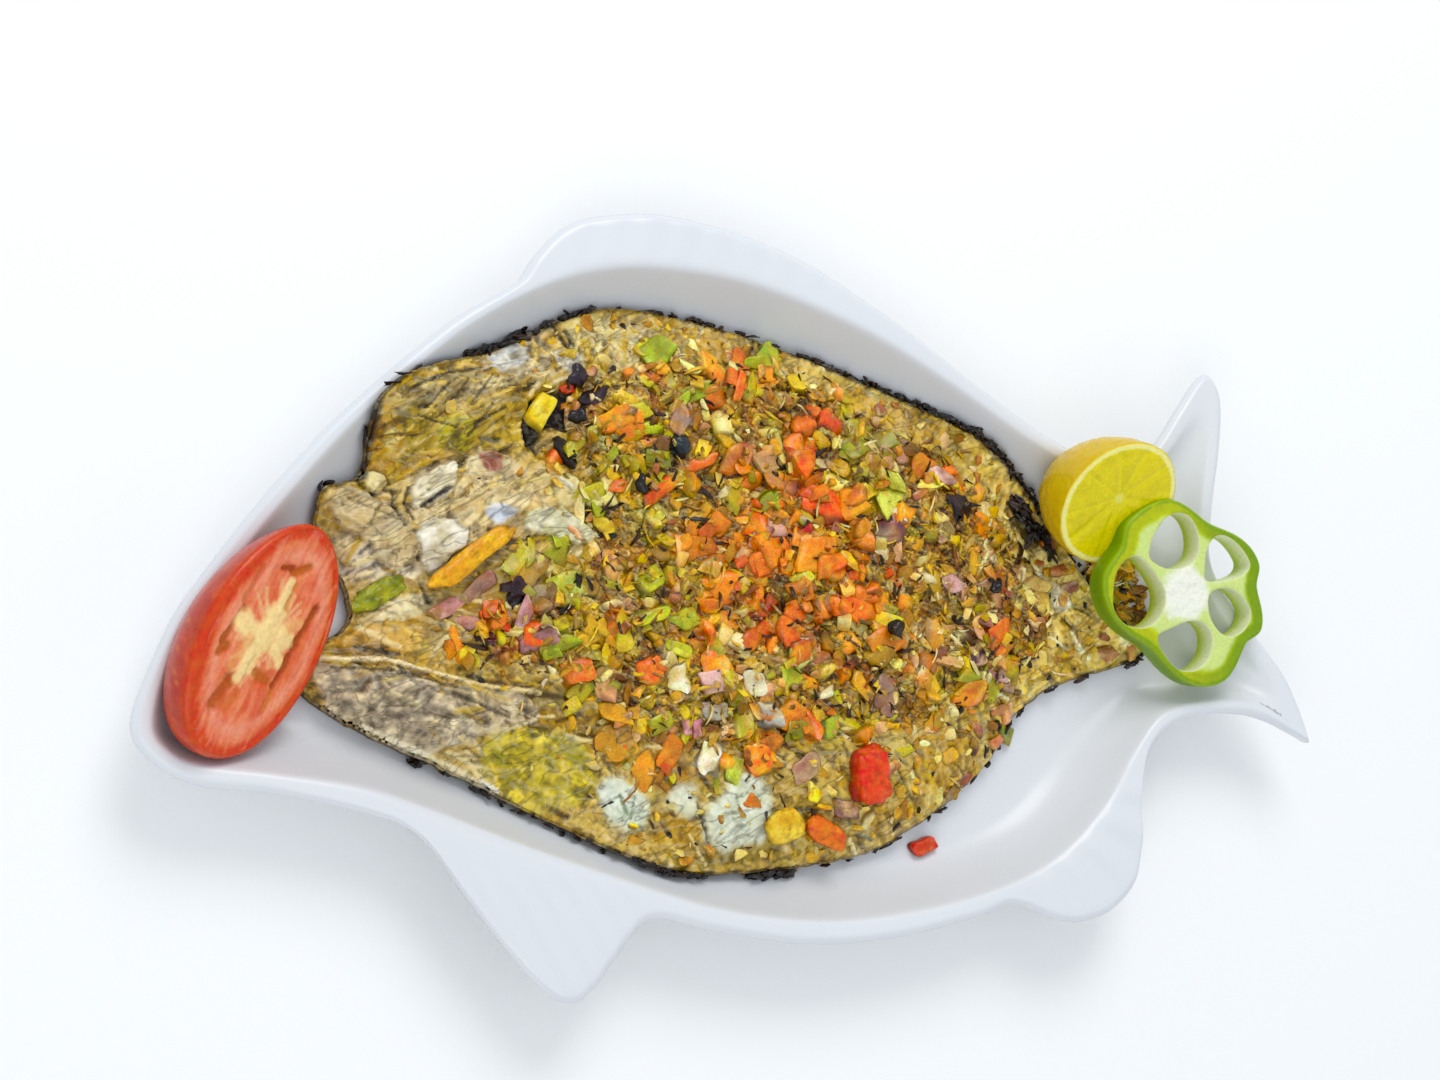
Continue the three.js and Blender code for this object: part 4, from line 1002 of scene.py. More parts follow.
def flesh(x, y):
    """The colour and the relief of the fish's upper surface."""
    inward = sample(fish_inward, x, y)
    upper = folds(x, y, 72, 10, 2.6, 20)
    lower = folds(x, y, -48, 10, 2.6, 24)
    upper_head = folds(x, y, 24, 13, 3.4, 28)
    lower_head = folds(x, y, -20, 12, 2.8, 32)
    in_head = mix(smooth(-x, 100, 112), smooth(-x, 52, 66), smooth(y, 8, 16))
    crest = mix(lower, upper, smooth(y, -5, 15))
    crest = mix(crest, mix(lower_head, upper_head, smooth(y, 4, 12)), in_head)
    crumb = 0.6 * ridges(x, y, 3.6, 33) + 0.4 * ridges(x, y, 2.0, 35)
    tone = np.clip(0.5 + 0.7 * rough(x, y, 5, 31), 0, 1)
    broad = np.clip(0.45 + 0.8 * rough(x, y, 12, 30), 0, 1)
    colours = shaded("B8923C", "E6D490", tone)
    colours = tinted(colours, "B2A034", 0.6 * broad)
    height = (0.8 + 0.7 * in_head) * (crest - 0.4) + 0.4 * (crumb - 0.4) + 0.9 * rough(x, y, 9, 44)
    draw_patches(colours, height, x, y, FISH_PATCHES, 50)
    rest = 1 - draw_plates(colours, height, x, y, FISH_PLATES, 60, crest)
    # Painted shade: except on the calm plates, the flesh is darkened to brown in the creases of its folds
    # and between its crumbs.
    dark = 0.8 * smooth(-crest, -0.36, -0.05) + 0.5 * smooth(-crumb, -0.12, 0)
    colours = tinted(colours, "4E3814", rest * np.clip(0.7 * dark, 0, 0.8))
    # Painted highlight: except on the calm plates, cream on the crests of the folds and crumbs; the pale
    # flecks with it fall at random.
    bright = (0.4 + 0.3 * in_head) * smooth(crest + 0.5 * crumb, 0.85, 1.25)
    flecks = smooth(rough(x, y, 3.0, 36), 0.12, 0.4)
    colours = tinted(colours, "F4E2AE", rest * np.clip(bright + 0.22 * flecks, 0, 0.85))
    pits = smooth(rough(x, y, 2.6, 38), 0.22, 0.45)
    colours = tinted(colours, "4A3010", 0.45 * rest * pits)
    grain = np.zeros(len(x))
    for field in GRAINY:
        grain = np.maximum(grain, smooth(-oval(x, y, *field), -1.1, -0.8))
    grit = rough(x, y, 2.2, 66, 2)
    height = height + 0.9 * grain * grit
    colours = colours * (1 + 0.75 * grain * grit)[:, None]
    draw_strokes(colours, height, x, y, random_strokes(), 80, smooth(rest, 0.35, 0.95))
    draw_strokes(colours, height, x, y, FISH_STROKES, 80)
    specks = smooth(rough(x, y, 1.8, 60, 2), 0.55, 0.7) * smooth(rough(x, y, 12, 66), -0.3, 0.3)
    colours = tinted(colours, "4A3418", 0.75 * specks)
    warmth = mix(HEAD_WARMTH, BODY_WARMTH, smooth(x, -20, 40)[:, None])
    warmth = mix(warmth, TAIL_WARMTH, smooth(x, 85, 105)[:, None])
    colours = colours * mix(1, warmth, smooth(rest, 0.5, 0.95)[:, None])
    burnt = 0.6 * smooth(-inward, -1.0, -0.1) * (0.5 + 0.5 * rough(x, y, 3, 70))
    edge = np.flatnonzero(inward < 7)
    u, v = x[edge], y[edge]
    wander = 1.2 * rough(u, v, 3, 72)
    for first, last, inset, width, _ in CHAR_RUNS:
        line = edge_points(np.linspace(first, last, 2 + int(6 * (last - first))), inset)
        for start, end in zip(line[:-1], line[1:]):
            near = stroke_distance(u, v, *start, *end) + wander
            burnt[edge] = np.maximum(burnt[edge], smooth(-near, -width * 1.2, -width * 0.5))
    colours = tinted(colours, "1E1710", 0.92 * burnt)
    height = height * np.minimum(1, np.maximum(0, inward) / 3) + 0.5 * burnt * rough(x, y, 2, 76)
    return colours, height


def make_fish():
    random = np.random.RandomState(3)
    outline = loop_of(FISH_OUTLINE, FISH_STATIONS, 1.0)
    side = facing(outline)
    inwards = -outwards(outline)
    outline = outline + inwards * (0.7 + 0.7 * rough(*outline.T, 3.2, 15))[:, None]
    head = hex_points((FISH_BOX[0], HEAD_END_X, *FISH_BOX[2:]), 0.68, random)
    rest = hex_points((HEAD_END_X, *FISH_BOX[1:]), 0.95, random)
    grid = np.concatenate([head, rest])
    coarse = np.arange(len(grid)) % 19 == 0
    shown = (sample(heap_inward, *grid.T) < 5) | coarse
    inner = grid[(sample(fish_inward, *grid.T) > 2.4) & shown]
    top_loop = outline + inwards * 0.9
    top = np.concatenate([top_loop, inner])
    colours, relief = flesh(*top.T)
    sunk = 2.0 * smooth(sample(heap_inward, *top.T), 3, 8)
    top_points = at_height(top, fish_top(*top.T) + relief - sunk)
    rim_top = fish_top(*outline.T)
    rings = []
    for inset, share in ((0.0, 0.75), (0.1, 0.4), (0.9, 0.0)):
        ring = outline + inwards * inset
        rings.append(at_height(ring, mix(dish_top(*ring.T) + GAP, rim_top, share)))
    under_inner = points_within(fish_inward, 5, FISH_BOX, 7, random)
    under = np.concatenate([ring, under_inner])
    under = at_height(under, dish_top(*under.T) + GAP)
    points, faces = slab(top_points, fill(top_loop, inner), rings, under, fill(ring, under_inner), side)
    x, y, z = points[len(top) :].T
    skin = shaded("8A6830", "1E1610", np.clip(0.6 + 0.9 * rough(x + z, y, 5, 19), 0, 1))
    material = food_material("grilled_flesh", "fish", FLESH_LINES)
    add_piece("grilled_fish", points, faces, material, np.concatenate([colours, skin]),
              nodes=["fish"])


make_fish()

# ---- chopped vegetables ----

# Fine lines of the chopped mass: direction, length, width, colour, strength.
CHOPPED_LINES = [
    (40, 12, 5, "3A1A08", 0.6),
    (-30, 12, 4.5, "F6E6A8", 0.3),
]

PILE_STEP = 0.5
PILE_X = np.arange(-175, 175, PILE_STEP)
PILE_Y = np.arange(-112, 112, PILE_STEP)


def wandered(x, y):
    """The places shifted a little to and fro, so that what is drawn there gets ragged edges."""
    return (
        x + 1.7 * noise(x, y, 4.5, 300) + 0.7 * noise(x, y, 2, 301),
        y + 1.7 * noise(x, y, 4.5, 302) + 0.7 * noise(x, y, 2, 303),
    )


def mush(x, y):
    """Relief of the chopped mass under the loose pieces, how deep its gaps are, and its ridges."""
    u, v = wandered(x, y)
    _, _, height, _, slope, gap = chips(u, v, 5.6, 8)
    _, _, fine_height, _, _, fine_gap = chips(u, v, 2.9, 9)
    crack = smooth(-gap, -0.17, -0.02) * smooth(noise(x, y, 5, 310), -0.5, 0.3)
    fine_crack = smooth(-fine_gap, -0.2, -0.02) * smooth(noise(x, y, 4, 311), -0.1, 0.4)
    ridge = 0.6 * ridges(u, v, 3.2, 312) + 0.4 * ridges(x, y, 1.9, 313)
    lift = 1.7 * (height - 0.5) + 1.6 * slope - 1.0 * crack + 0.5 * (fine_height - 0.5) - 0.4 * fine_crack
    lift = lift + 0.9 * (ridge - 0.4) + 0.9 * rough(x, y, 11, 90)
    return lift, np.maximum(crack, 0.7 * fine_crack), ridge


def core_top(x, y, lift):
    """Height of the mass that the loose pieces lie on."""
    edge = np.clip(sample(heap_inward, x, y) / 6, 0, 1)
    return mix(fish_top(x, y) - 0.6, heap_top(x, y) - 2.0 + lift, edge)


# The kinds of chopped pieces: colours, (shortest, longest, breadth and thickness as shares of the
# length), squareness, unevenness, bend, lumps, how far a piece sinks in.
KINDS = {
    "tomato": (
        ("F26A30", "E24A22", "F08430", "F89440"), (6, 13, 0.75, 0.5), 4.5, 0.5, 0.2, 0.1, 0.5,
    ),
    "green_pepper": (
        ("B0B424", "8E9616", "CCC62C", "70760E"), (5, 11, 0.6, 0.36), 6, 0.45, 0.4, 0.05, 0.45,
    ),
    "onion": (
        ("D8A27C", "A86A5C", "EAC098", "8A5650"), (5, 12, 0.55, 0.26), 5, 0.45, 0.6, 0.08, 0.4,
    ),
    "gold_flake": (
        ("E0AC28", "CC9418", "E8C440", "D0881A"), (4, 9, 0.55, 0.34), 4, 0.6, 0.5, 0.12, 0.45,
    ),
    "brown_flake": (
        ("9E6C1C", "744818", "4E2A10", "B8842C"), (4, 9, 0.55, 0.32), 4, 0.6, 0.5, 0.12, 0.45,
    ),
    "cream_flake": (
        ("F6E4A0", "F4E8B8", "EADC8C", "EAD478"), (4, 9, 0.55, 0.3), 4, 0.55, 0.5, 0.12, 0.4,
    ),
    "char_bit": (
        ("100C0A", "1E140E", "2E1C12", "1A0E10"), (1.2, 4.0, 0.6, 0.45), 3, 0.6, 0.3, 0.2, 0.25,
    ),
    "strand": (
        ("9A6A1C", "E0B858", "7A4A20", "F8E8B4"), (5, 15, 0.1, 0.07), 2.5, 0.5, 1.4, 0.1, 0.0,
    ),
    "burnt_strand": (
        ("2A1A10", "3E2614", "1E1410", "4A2C18"), (3, 10, 0.16, 0.12), 2.5, 0.6, 0.8, 0.15, 0.1,
    ),
    "yellow_pepper": (
        ("ECC628", "E2AE20", "E4A42C", "ECD048"), (5, 9, 0.7, 0.4), 6, 0.35, 0.3, 0.06, 0.4,
    ),
}


def mixture(x, y):
    """How likely each kind is at a place on the heap."""
    even = np.ones(np.shape(x))
    right = smooth(x, 45, 80)
    red = smooth(-oval(x, y, 12, -3, 48, 34), -1.15, -0.5)
    upper_red = smooth(-oval(x, y, 25, 40, 26, 22), -1.1, -0.4)
    green = smooth(-oval(x, y, -35, 60, 40, 40), -1.1, -0.3)
    burnt = smooth(-oval(x, y, 117, 11, 15, 5, -51), -1.25, -0.75)
    pale = smooth(-oval(x, y, 110, -11, 14, 6, -25), -1.25, -0.75)
    return {
        "tomato": 0.06 + 0.9 * red + 0.4 * upper_red,
        "green_pepper": 0.14 + 0.12 * green,
        "onion": 0.16 + 0.2 * right,
        "gold_flake": 0.26 + 0.1 * right,
        "brown_flake": 0.33 * even,
        "cream_flake": 0.28 + 0.1 * green + 0.14 * right + 3 * pale,
        "char_bit": 0.1 + 0.16 * right + 8 * burnt,
        "strand": 0.14 * even,
        "burnt_strand": 0.12 * even,
        "yellow_pepper": 0.06 * even,
    }


def heap_colour(x, y):
    """The colours of the chopped mass: soft patches of its kinds, blended by their juices."""
    total = np.zeros((len(x), 3))
    for spacing, seed in ((10, 410), (5.6, 8)):
        middle_x, middle_y, _, pick, _, _ = chips(*wandered(x, y), spacing, seed)
        shares = mixture(middle_x, middle_y)
        limits = np.cumsum(list(shares.values()), axis=0)
        limits = limits / limits[-1]
        below = np.zeros(len(x))
        for kind, limit in zip(shares, limits):
            here = (pick >= below) & (pick <= limit)
            place = (pick - below) / np.maximum(limit - below, 1e-6)
            palette = np.array([linear(code) for code in KINDS[kind][0]])
            shade = np.clip(place * len(palette), 0, len(palette) - 1).astype(int)
            total[here] += 0.5 * palette[shade[here]]
            below = limit
    tone = np.clip(0.5 + 0.9 * rough(x, y, 4, 108), 0, 1)
    juices = shaded("E2A83C", "B88420", tone)
    return mix(total, juices, np.clip(0.3 + 0.5 * rough(x, y, 6, 101), 0, 0.8)[:, None])


def make_heap_core():
    random = np.random.RandomState(5)
    outline = loop_of(HEAP_OUTLINE, HEAP_STATIONS, 0.9)
    inner = points_within(heap_inward, 0.7, HEAP_BOX, 0.66, random)
    x, y = top = np.concatenate([outline, inner]).T
    lift, crack, ridge = mush(x, y)
    # Painted highlight and shade: the mass is lighter and creamier on the ridges of its relief and darker
    # between them.
    colours = heap_colour(x, y) * (1 + 0.5 * (ridge - 0.35))[:, None]
    colours = tinted(colours, "F8E2A4", 0.65 * smooth(ridge, 0.62, 0.9))
    colours = tinted(colours, "7A3016", 0.55 * smooth(rough(x, y, 3.4, 109), 0.12, 0.34))
    # Painted shade: the mass is a little darker all over, under the loose pieces, and near-black in the
    # cracks between its chips.
    colours = tinted(colours * 0.95, "240C04", 0.95 * crack)
    bottom_inner = points_within(heap_inward, 4, HEAP_BOX, 6, random)
    under = np.concatenate([outline, bottom_inner])
    under = at_height(under, fish_top(*under.T) - 2.5)
    rings = [at_height(outline, fish_top(*outline.T) - 1.2), under[: len(outline)]]
    top_points = at_height(top.T, core_top(x, y, lift))
    under_faces = fill(outline, bottom_inner)
    points, faces = slab(top_points, fill(outline, inner), rings, under, under_faces, facing(outline))
    dark = np.tile(linear("2A1A0A"), (len(points) - len(x), 1))
    material = food_material("cooked_vegetables", "heap", CHOPPED_LINES)
    add_piece("vegetable_mass", points, faces, material, np.concatenate([colours, dark]),
              nodes=["vegetable_topping"])


make_heap_core()

# The pile's height under the pieces laid so far: each one that settles heaps it up.
pile_gx, pile_gy = pile_grid = np.meshgrid(PILE_X, PILE_Y)
pile = np.where(sample(fish_inward, *pile_grid) > 0, fish_top(*pile_grid), dish_top(*pile_grid))
in_heap = sample(heap_inward, *pile_grid) > 0
pile = np.where(in_heap, core_top(*pile_grid, mush(*pile_grid)[0]), pile)

# The chopped mass's colour, on every second place of the pile's grid.
TINT_STEP = 2
tint_x, tint_y = (axis[::TINT_STEP, ::TINT_STEP] for axis in pile_grid)
pile_tint = heap_colour(tint_x.ravel(), tint_y.ravel()).reshape(*tint_x.shape, 3)


def tint_at(x, y):
    """The colour of the chopped mass at places."""
    places = []
    for value, steps, count in zip((y, x), (PILE_Y, PILE_X), pile_tint.shape):
        place = ((value - steps[0]) / PILE_STEP / TINT_STEP).round().astype(int)
        places.append(np.clip(place, 0, count - 1))
    return pile_tint[tuple(places)]


def cube_grid(cells):
    """A closed cube of unit half size whose faces have cells x cells squares."""
    steps = np.linspace(-1, 1, cells + 1)
    index = {}
    triangles = []

    def number(point):
        return index.setdefault(tuple(np.round(point, 6)), len(index))

    for axis in range(3):
        for end in (-1, 1):
            for a, b in zip(steps[:-1], steps[1:]):
                for c, d in zip(steps[:-1], steps[1:]):
                    corners = []
                    for u, v in ((a, c), (b, c), (b, d), (a, d)):
                        point = np.zeros(3)
                        point[axis], point[(axis + 1) % 3], point[(axis + 2) % 3] = end, u, v
                        corners.append(number(point))
                    corners = corners[::end]
                    triangles += [corners[:3], [corners[0], corners[2], corners[3]]]
    return np.array(list(index)), np.array(triangles)


CUBE_CORNERS = np.array([(i, j, k) for i in (-1, 1) for j in (-1, 1) for k in (-1, 1)])


def cut_piece(random, template, size, squareness, unevenness, bend, lumps):
    """A soft-cornered cut: uneven corners, a bend along its length, and lumps."""
    points = template / (np.abs(template) ** squareness).sum(1)[:, None] ** (1 / squareness)
    weights = np.prod(1 + template[:, None, :] * CUBE_CORNERS[None], axis=2) / 8
    points = points + weights @ random.uniform(-unevenness, unevenness, (8, 3))
    phase = random.uniform(0, 2 * math.pi, (2, 3))
    points = points + lumps * np.sin(2.6 * points[:, (1, 2, 0)] + phase[0])
    points = points + 0.6 * lumps * np.sin(4.7 * points[:, (2, 0, 1)] + phase[1])
    points = points * np.array(size) / 2
    points[:, 2] += bend * size[0] * ((points[:, 0] / size[0]) ** 2 * 4 - 0.4) / 4
    return points


def settle(x, y, size, turn, sink):
    """Lays a piece on the pile: gives its middle's height and its slopes, and heaps it up."""
    length, width, thick = size
    reach = int(length / 2 / PILE_STEP) + 1
    column = int(round((x - PILE_X[0]) / PILE_STEP))
    row = int(round((y - PILE_Y[0]) / PILE_STEP))
    window = (slice(row - reach, row + reach + 1), slice(column - reach, column + reach + 1))
    dx, dy = pile_gx[window] - x, pile_gy[window] - y
    along, across = turned(dx, dy, turn)
    under = (2 * along / length) ** 2 + (2 * across / width) ** 2 < 1.1
    heights = pile[window][under]
    dx, dy = dx[under], dy[under]
    slope_x = np.clip((heights * dx).mean() / (dx * dx).mean(), -0.5, 0.5)
    slope_y = np.clip((heights * dy).mean() / (dy * dy).mean(), -0.5, 0.5)
    z = heights.mean() + thick * (0.5 - sink)
    pile[window][under] = np.maximum(heights, z + thick * 0.4 + slope_x * dx + slope_y * dy)
    return z, slope_x, slope_y


# Pieces that stand out: kind, x, y, length, width, thickness, turn, colour.
FEATURES = [
    ("green_pepper", -26, 85, 16, 12, 4, 20, "A9C04A"),
    ("tomato", 4, 77, 20, 8, 5, 57, "E0702A"),
    ("green_pepper", 18, 82, 17, 9, 4, 36, "9AAE2C"),
    ("green_pepper", -16, 69, 23, 6, 3, 10, "8F9A2C"),
    ("tomato", -46, 61, 12, 7, 4, 20, "E0782E"),
    ("green_pepper", -35, 58, 9, 5, 3, 0, "B4BE3C"),
    ("onion", -24, 60, 14, 8, 3, 20, "B89A88"),
    ("green_pepper", -33, 47, 8, 7, 4, 0, "A9B43C"),
    ("char_bit", -40, 38, 6, 6, 6, 0, "15120E"),
    ("char_bit", -25, 50, 8, 7, 4, 0, "26343A"),
    ("tomato", -35, 35, 14, 6, 4, 35, "D8502A"),
    ("tomato", -17, 44, 16, 5, 4, 20, "D8602A"),
    ("tomato", 1, 37, 13, 10, 5, 10, "E88A34"),
    ("tomato", 20, 47, 13, 8, 5, 20, "D8442A"),
    ("tomato", 36, 55, 11, 8, 5, -30, "E0582A"),
    ("green_pepper", 45, 46, 12, 8, 4, 30, "94983A"),
    ("green_pepper", 3, 27, 16, 6, 3, 30, "A9B43C"),
    ("onion", 6, 18, 16, 8, 3, 10, "D0A49C"),
    ("tomato", 29, 26, 20, 12, 6, -30, "E8603A"),
    ("tomato", 20, 17, 10, 7, 5, 20, "D8382A"),
    ("tomato", 3, 6, 14, 10, 6, 0, "E88040"),
    ("cream_flake", -55, 35, 11, 11, 4, 0, "D9CE7A"),
    ("brown_flake", -55, 8, 12, 11, 4, 0, "B08A5A"),
    ("green_pepper", -43, 4, 11, 8, 4, 20, "B9B440"),
    ("green_pepper", 14, 0, 9, 6, 4, 10, "B8C050"),
    ("green_pepper", -32, -10, 10, 9, 4, 40, "B4BE4A"),
    ("green_pepper", -45, -8, 12, 6, 3, 15, "A8B040"),
    ("green_pepper", -35, -20, 10, 6, 3, -20, "B0B848"),
    ("tomato", -47, -28, 11, 10, 6, 30, "E8702A"),
    ("cream_flake", -37, -30, 9, 8, 3, 0, "E6DCC0"),
    ("onion", -22, -33, 14, 8, 3, 5, "E0C0B0"),
    ("cream_flake", -8, -35, 9, 7, 3, 0, "DAD0B0"),
    ("green_pepper", 6, -33, 8, 8, 4, 0, "8FA42C"),
    ("green_pepper", 12, -27, 12, 8, 4, 20, "C0C878"),
    ("green_pepper", 20, -53, 9, 7, 4, 0, "9AAE2C"),
    ("green_pepper", 6, -52, 8, 6, 3, 0, "9A9424"),
    ("brown_flake", -8, -60, 14, 8, 4, 0, "C47A34"),
    ("tomato", -15, -74, 6, 6, 3, 0, "E07A34"),
    ("green_pepper", -20, -63, 8, 5, 3, 70, "B0B850"),
    ("cream_flake", -28, -59, 9, 7, 3, 0, "E6DCC0"),
    ("green_pepper", 54, 28, 16, 14, 5, 30, "B9C060"),
    ("onion", 62, 43, 14, 9, 3, -30, "A4786A"),
    ("onion", 75, 35, 16, 5, 3, -45, "CBA69A"),
    ("tomato", 85, 32, 14, 8, 5, -40, "E0602A"),
    ("char_bit", 83, 21, 11, 9, 4, 0, "2A141A"),
    ("onion", 53, 14, 9, 8, 4, 0, "5A3048"),
    ("cream_flake", 55, 20, 7, 5, 3, 0, "E4E0C0"),
    ("tomato", 92, 12, 8, 6, 4, 0, "E08A40"),
    ("onion", 76, -6, 10, 6, 3, 20, "B08E86"),
    ("char_bit", 94, -8, 6, 5, 4, 0, "14100E"),
    ("char_bit", 48, -21, 6, 5, 4, 0, "14100E"),
    ("onion", 82, -33, 8, 7, 4, 0, "3E2430"),
    ("tomato", 93, -28, 14, 11, 5, -70, "E0782A"),
    ("onion", 95, -43, 14, 8, 3, -20, "A48280"),
    ("green_pepper", 64, -54, 7, 5, 3, 0, "D8582A"),
    ("green_pepper", 97, -62, 10, 7, 3, -50, "7E8424"),
    ("green_pepper", -73, 4, 15, 12, 3, 20, "B9BE6A"),
    ("char_bit", -58, 78, 7, 6, 5, 0, "2E1C2A"),
    ("char_bit", -54, 70, 8, 6, 5, 30, "3A2432"),
    ("char_bit", -60, 64, 6, 6, 4, 0, "1E1418"),
    ("tomato", -62, 74, 5, 4, 3, 0, "B8382A"),
    ("char_bit", -65, 49, 15, 6, 4, -67, "1E1612"),
    ("green_pepper", -62, 36, 14, 6, 3, 15, "B9B23C"),
    ("char_bit", -104, -10, 5, 5, 3, 0, "4A1A1A"),
    ("tomato", -99, -4, 9, 12, 5, 0, "E0562A"),
    ("tomato", -113, -11, 7, 13, 4, 0, "D9822A"),
    ("onion", 42, -42, 15, 9, 3, 80, "8A6A60"),
    ("onion", 22, -82, 10, 8, 3, 0, "7A5A52"),
    ("char_bit", -88, 6, 13, 8, 4, 10, "2E1620"),
    ("onion", -114, 1, 19, 7, 3, 25, "C09088"),
    ("onion", -89, -4, 15, 6, 3, 40, "B08A8C"),
    ("tomato", -98, -3, 9, 12, 5, 0, "E8742A"),
    ("green_pepper", -73, 18, 12, 9, 3, 60, "A8AE3C"),
    ("cream_flake", -64, 33, 13, 7, 3, 70, "F0DC98"),
    ("gold_flake", -70, 44, 11, 5, 3, 50, "E8C870"),
    ("brown_flake", -84, 14, 11, 7, 3, 30, "9A7A3C"),
    ("onion", -35, -45, 9, 10, 4, 0, "D89AA0"),
    ("gold_flake", -61, -49, 12, 13, 4, 10, "C89448"),
    ("gold_flake", -52, -60, 12, 7, 3, 50, "D8923C"),
    ("tomato", -42, -55, 12, 8, 4, 60, "D8803A"),
    ("onion", -24, -43, 9, 7, 3, 0, "B4B0A0"),
    ("cream_flake", -3, -46, 8, 8, 3, 0, "C8CCC0"),
    ("green_pepper", -46, -45, 12, 5, 3, 20, "9AA02C"),
    ("gold_flake", -62, -38, 13, 6, 3, -30, "C89A3C"),
    ("tomato", -10, -61, 10, 10, 4, 0, "EE8A3A"),
    ("onion", 8, -66, 10, 7, 3, 20, "C8A08C"),
    ("cream_flake", -29, -58, 8, 10, 4, 0, "F2E6D8"),
    ("green_pepper", -88, 16, 14, 8, 3, 40, "9A9430"),
    ("onion", -102, 8, 13, 6, 3, 35, "A0786C"),
    ("brown_flake", -80, 2, 12, 8, 3, 10, "7A5A30"),
    ("green_pepper", -78, -14, 13, 8, 4, 30, "8E9428"),
    ("tomato", -72, -24, 10, 8, 4, 0, "D8642A"),
    ("onion", -86, -12, 12, 7, 3, 35, "A88080"),
    ("gold_flake", -66, -12, 12, 9, 4, 60, "C0A040"),
]


# How likely each kind is among the bits on the bare flesh and those in the dish under the ring.
FLESH_BITS = {
    "gold_flake": 0.28, "brown_flake": 0.18, "cream_flake": 0.34, "strand": 0.4, "burnt_strand": 0.2,
    "char_bit": 0.12, "green_pepper": 0.04,
}
RING_BITS = {
    "gold_flake": 0.3, "brown_flake": 0.45, "strand": 0.15, "burnt_strand": 0.25, "char_bit": 0.3,
    "green_pepper": 0.12,
}
RING_BOX = (141, 163, -29, -1)
BIT_BOX = (-110, 156, -98, 104)
FEATURE_CUT = 90  # larger features are cut in two
UNOILED = ("char_bit", "burnt_strand")


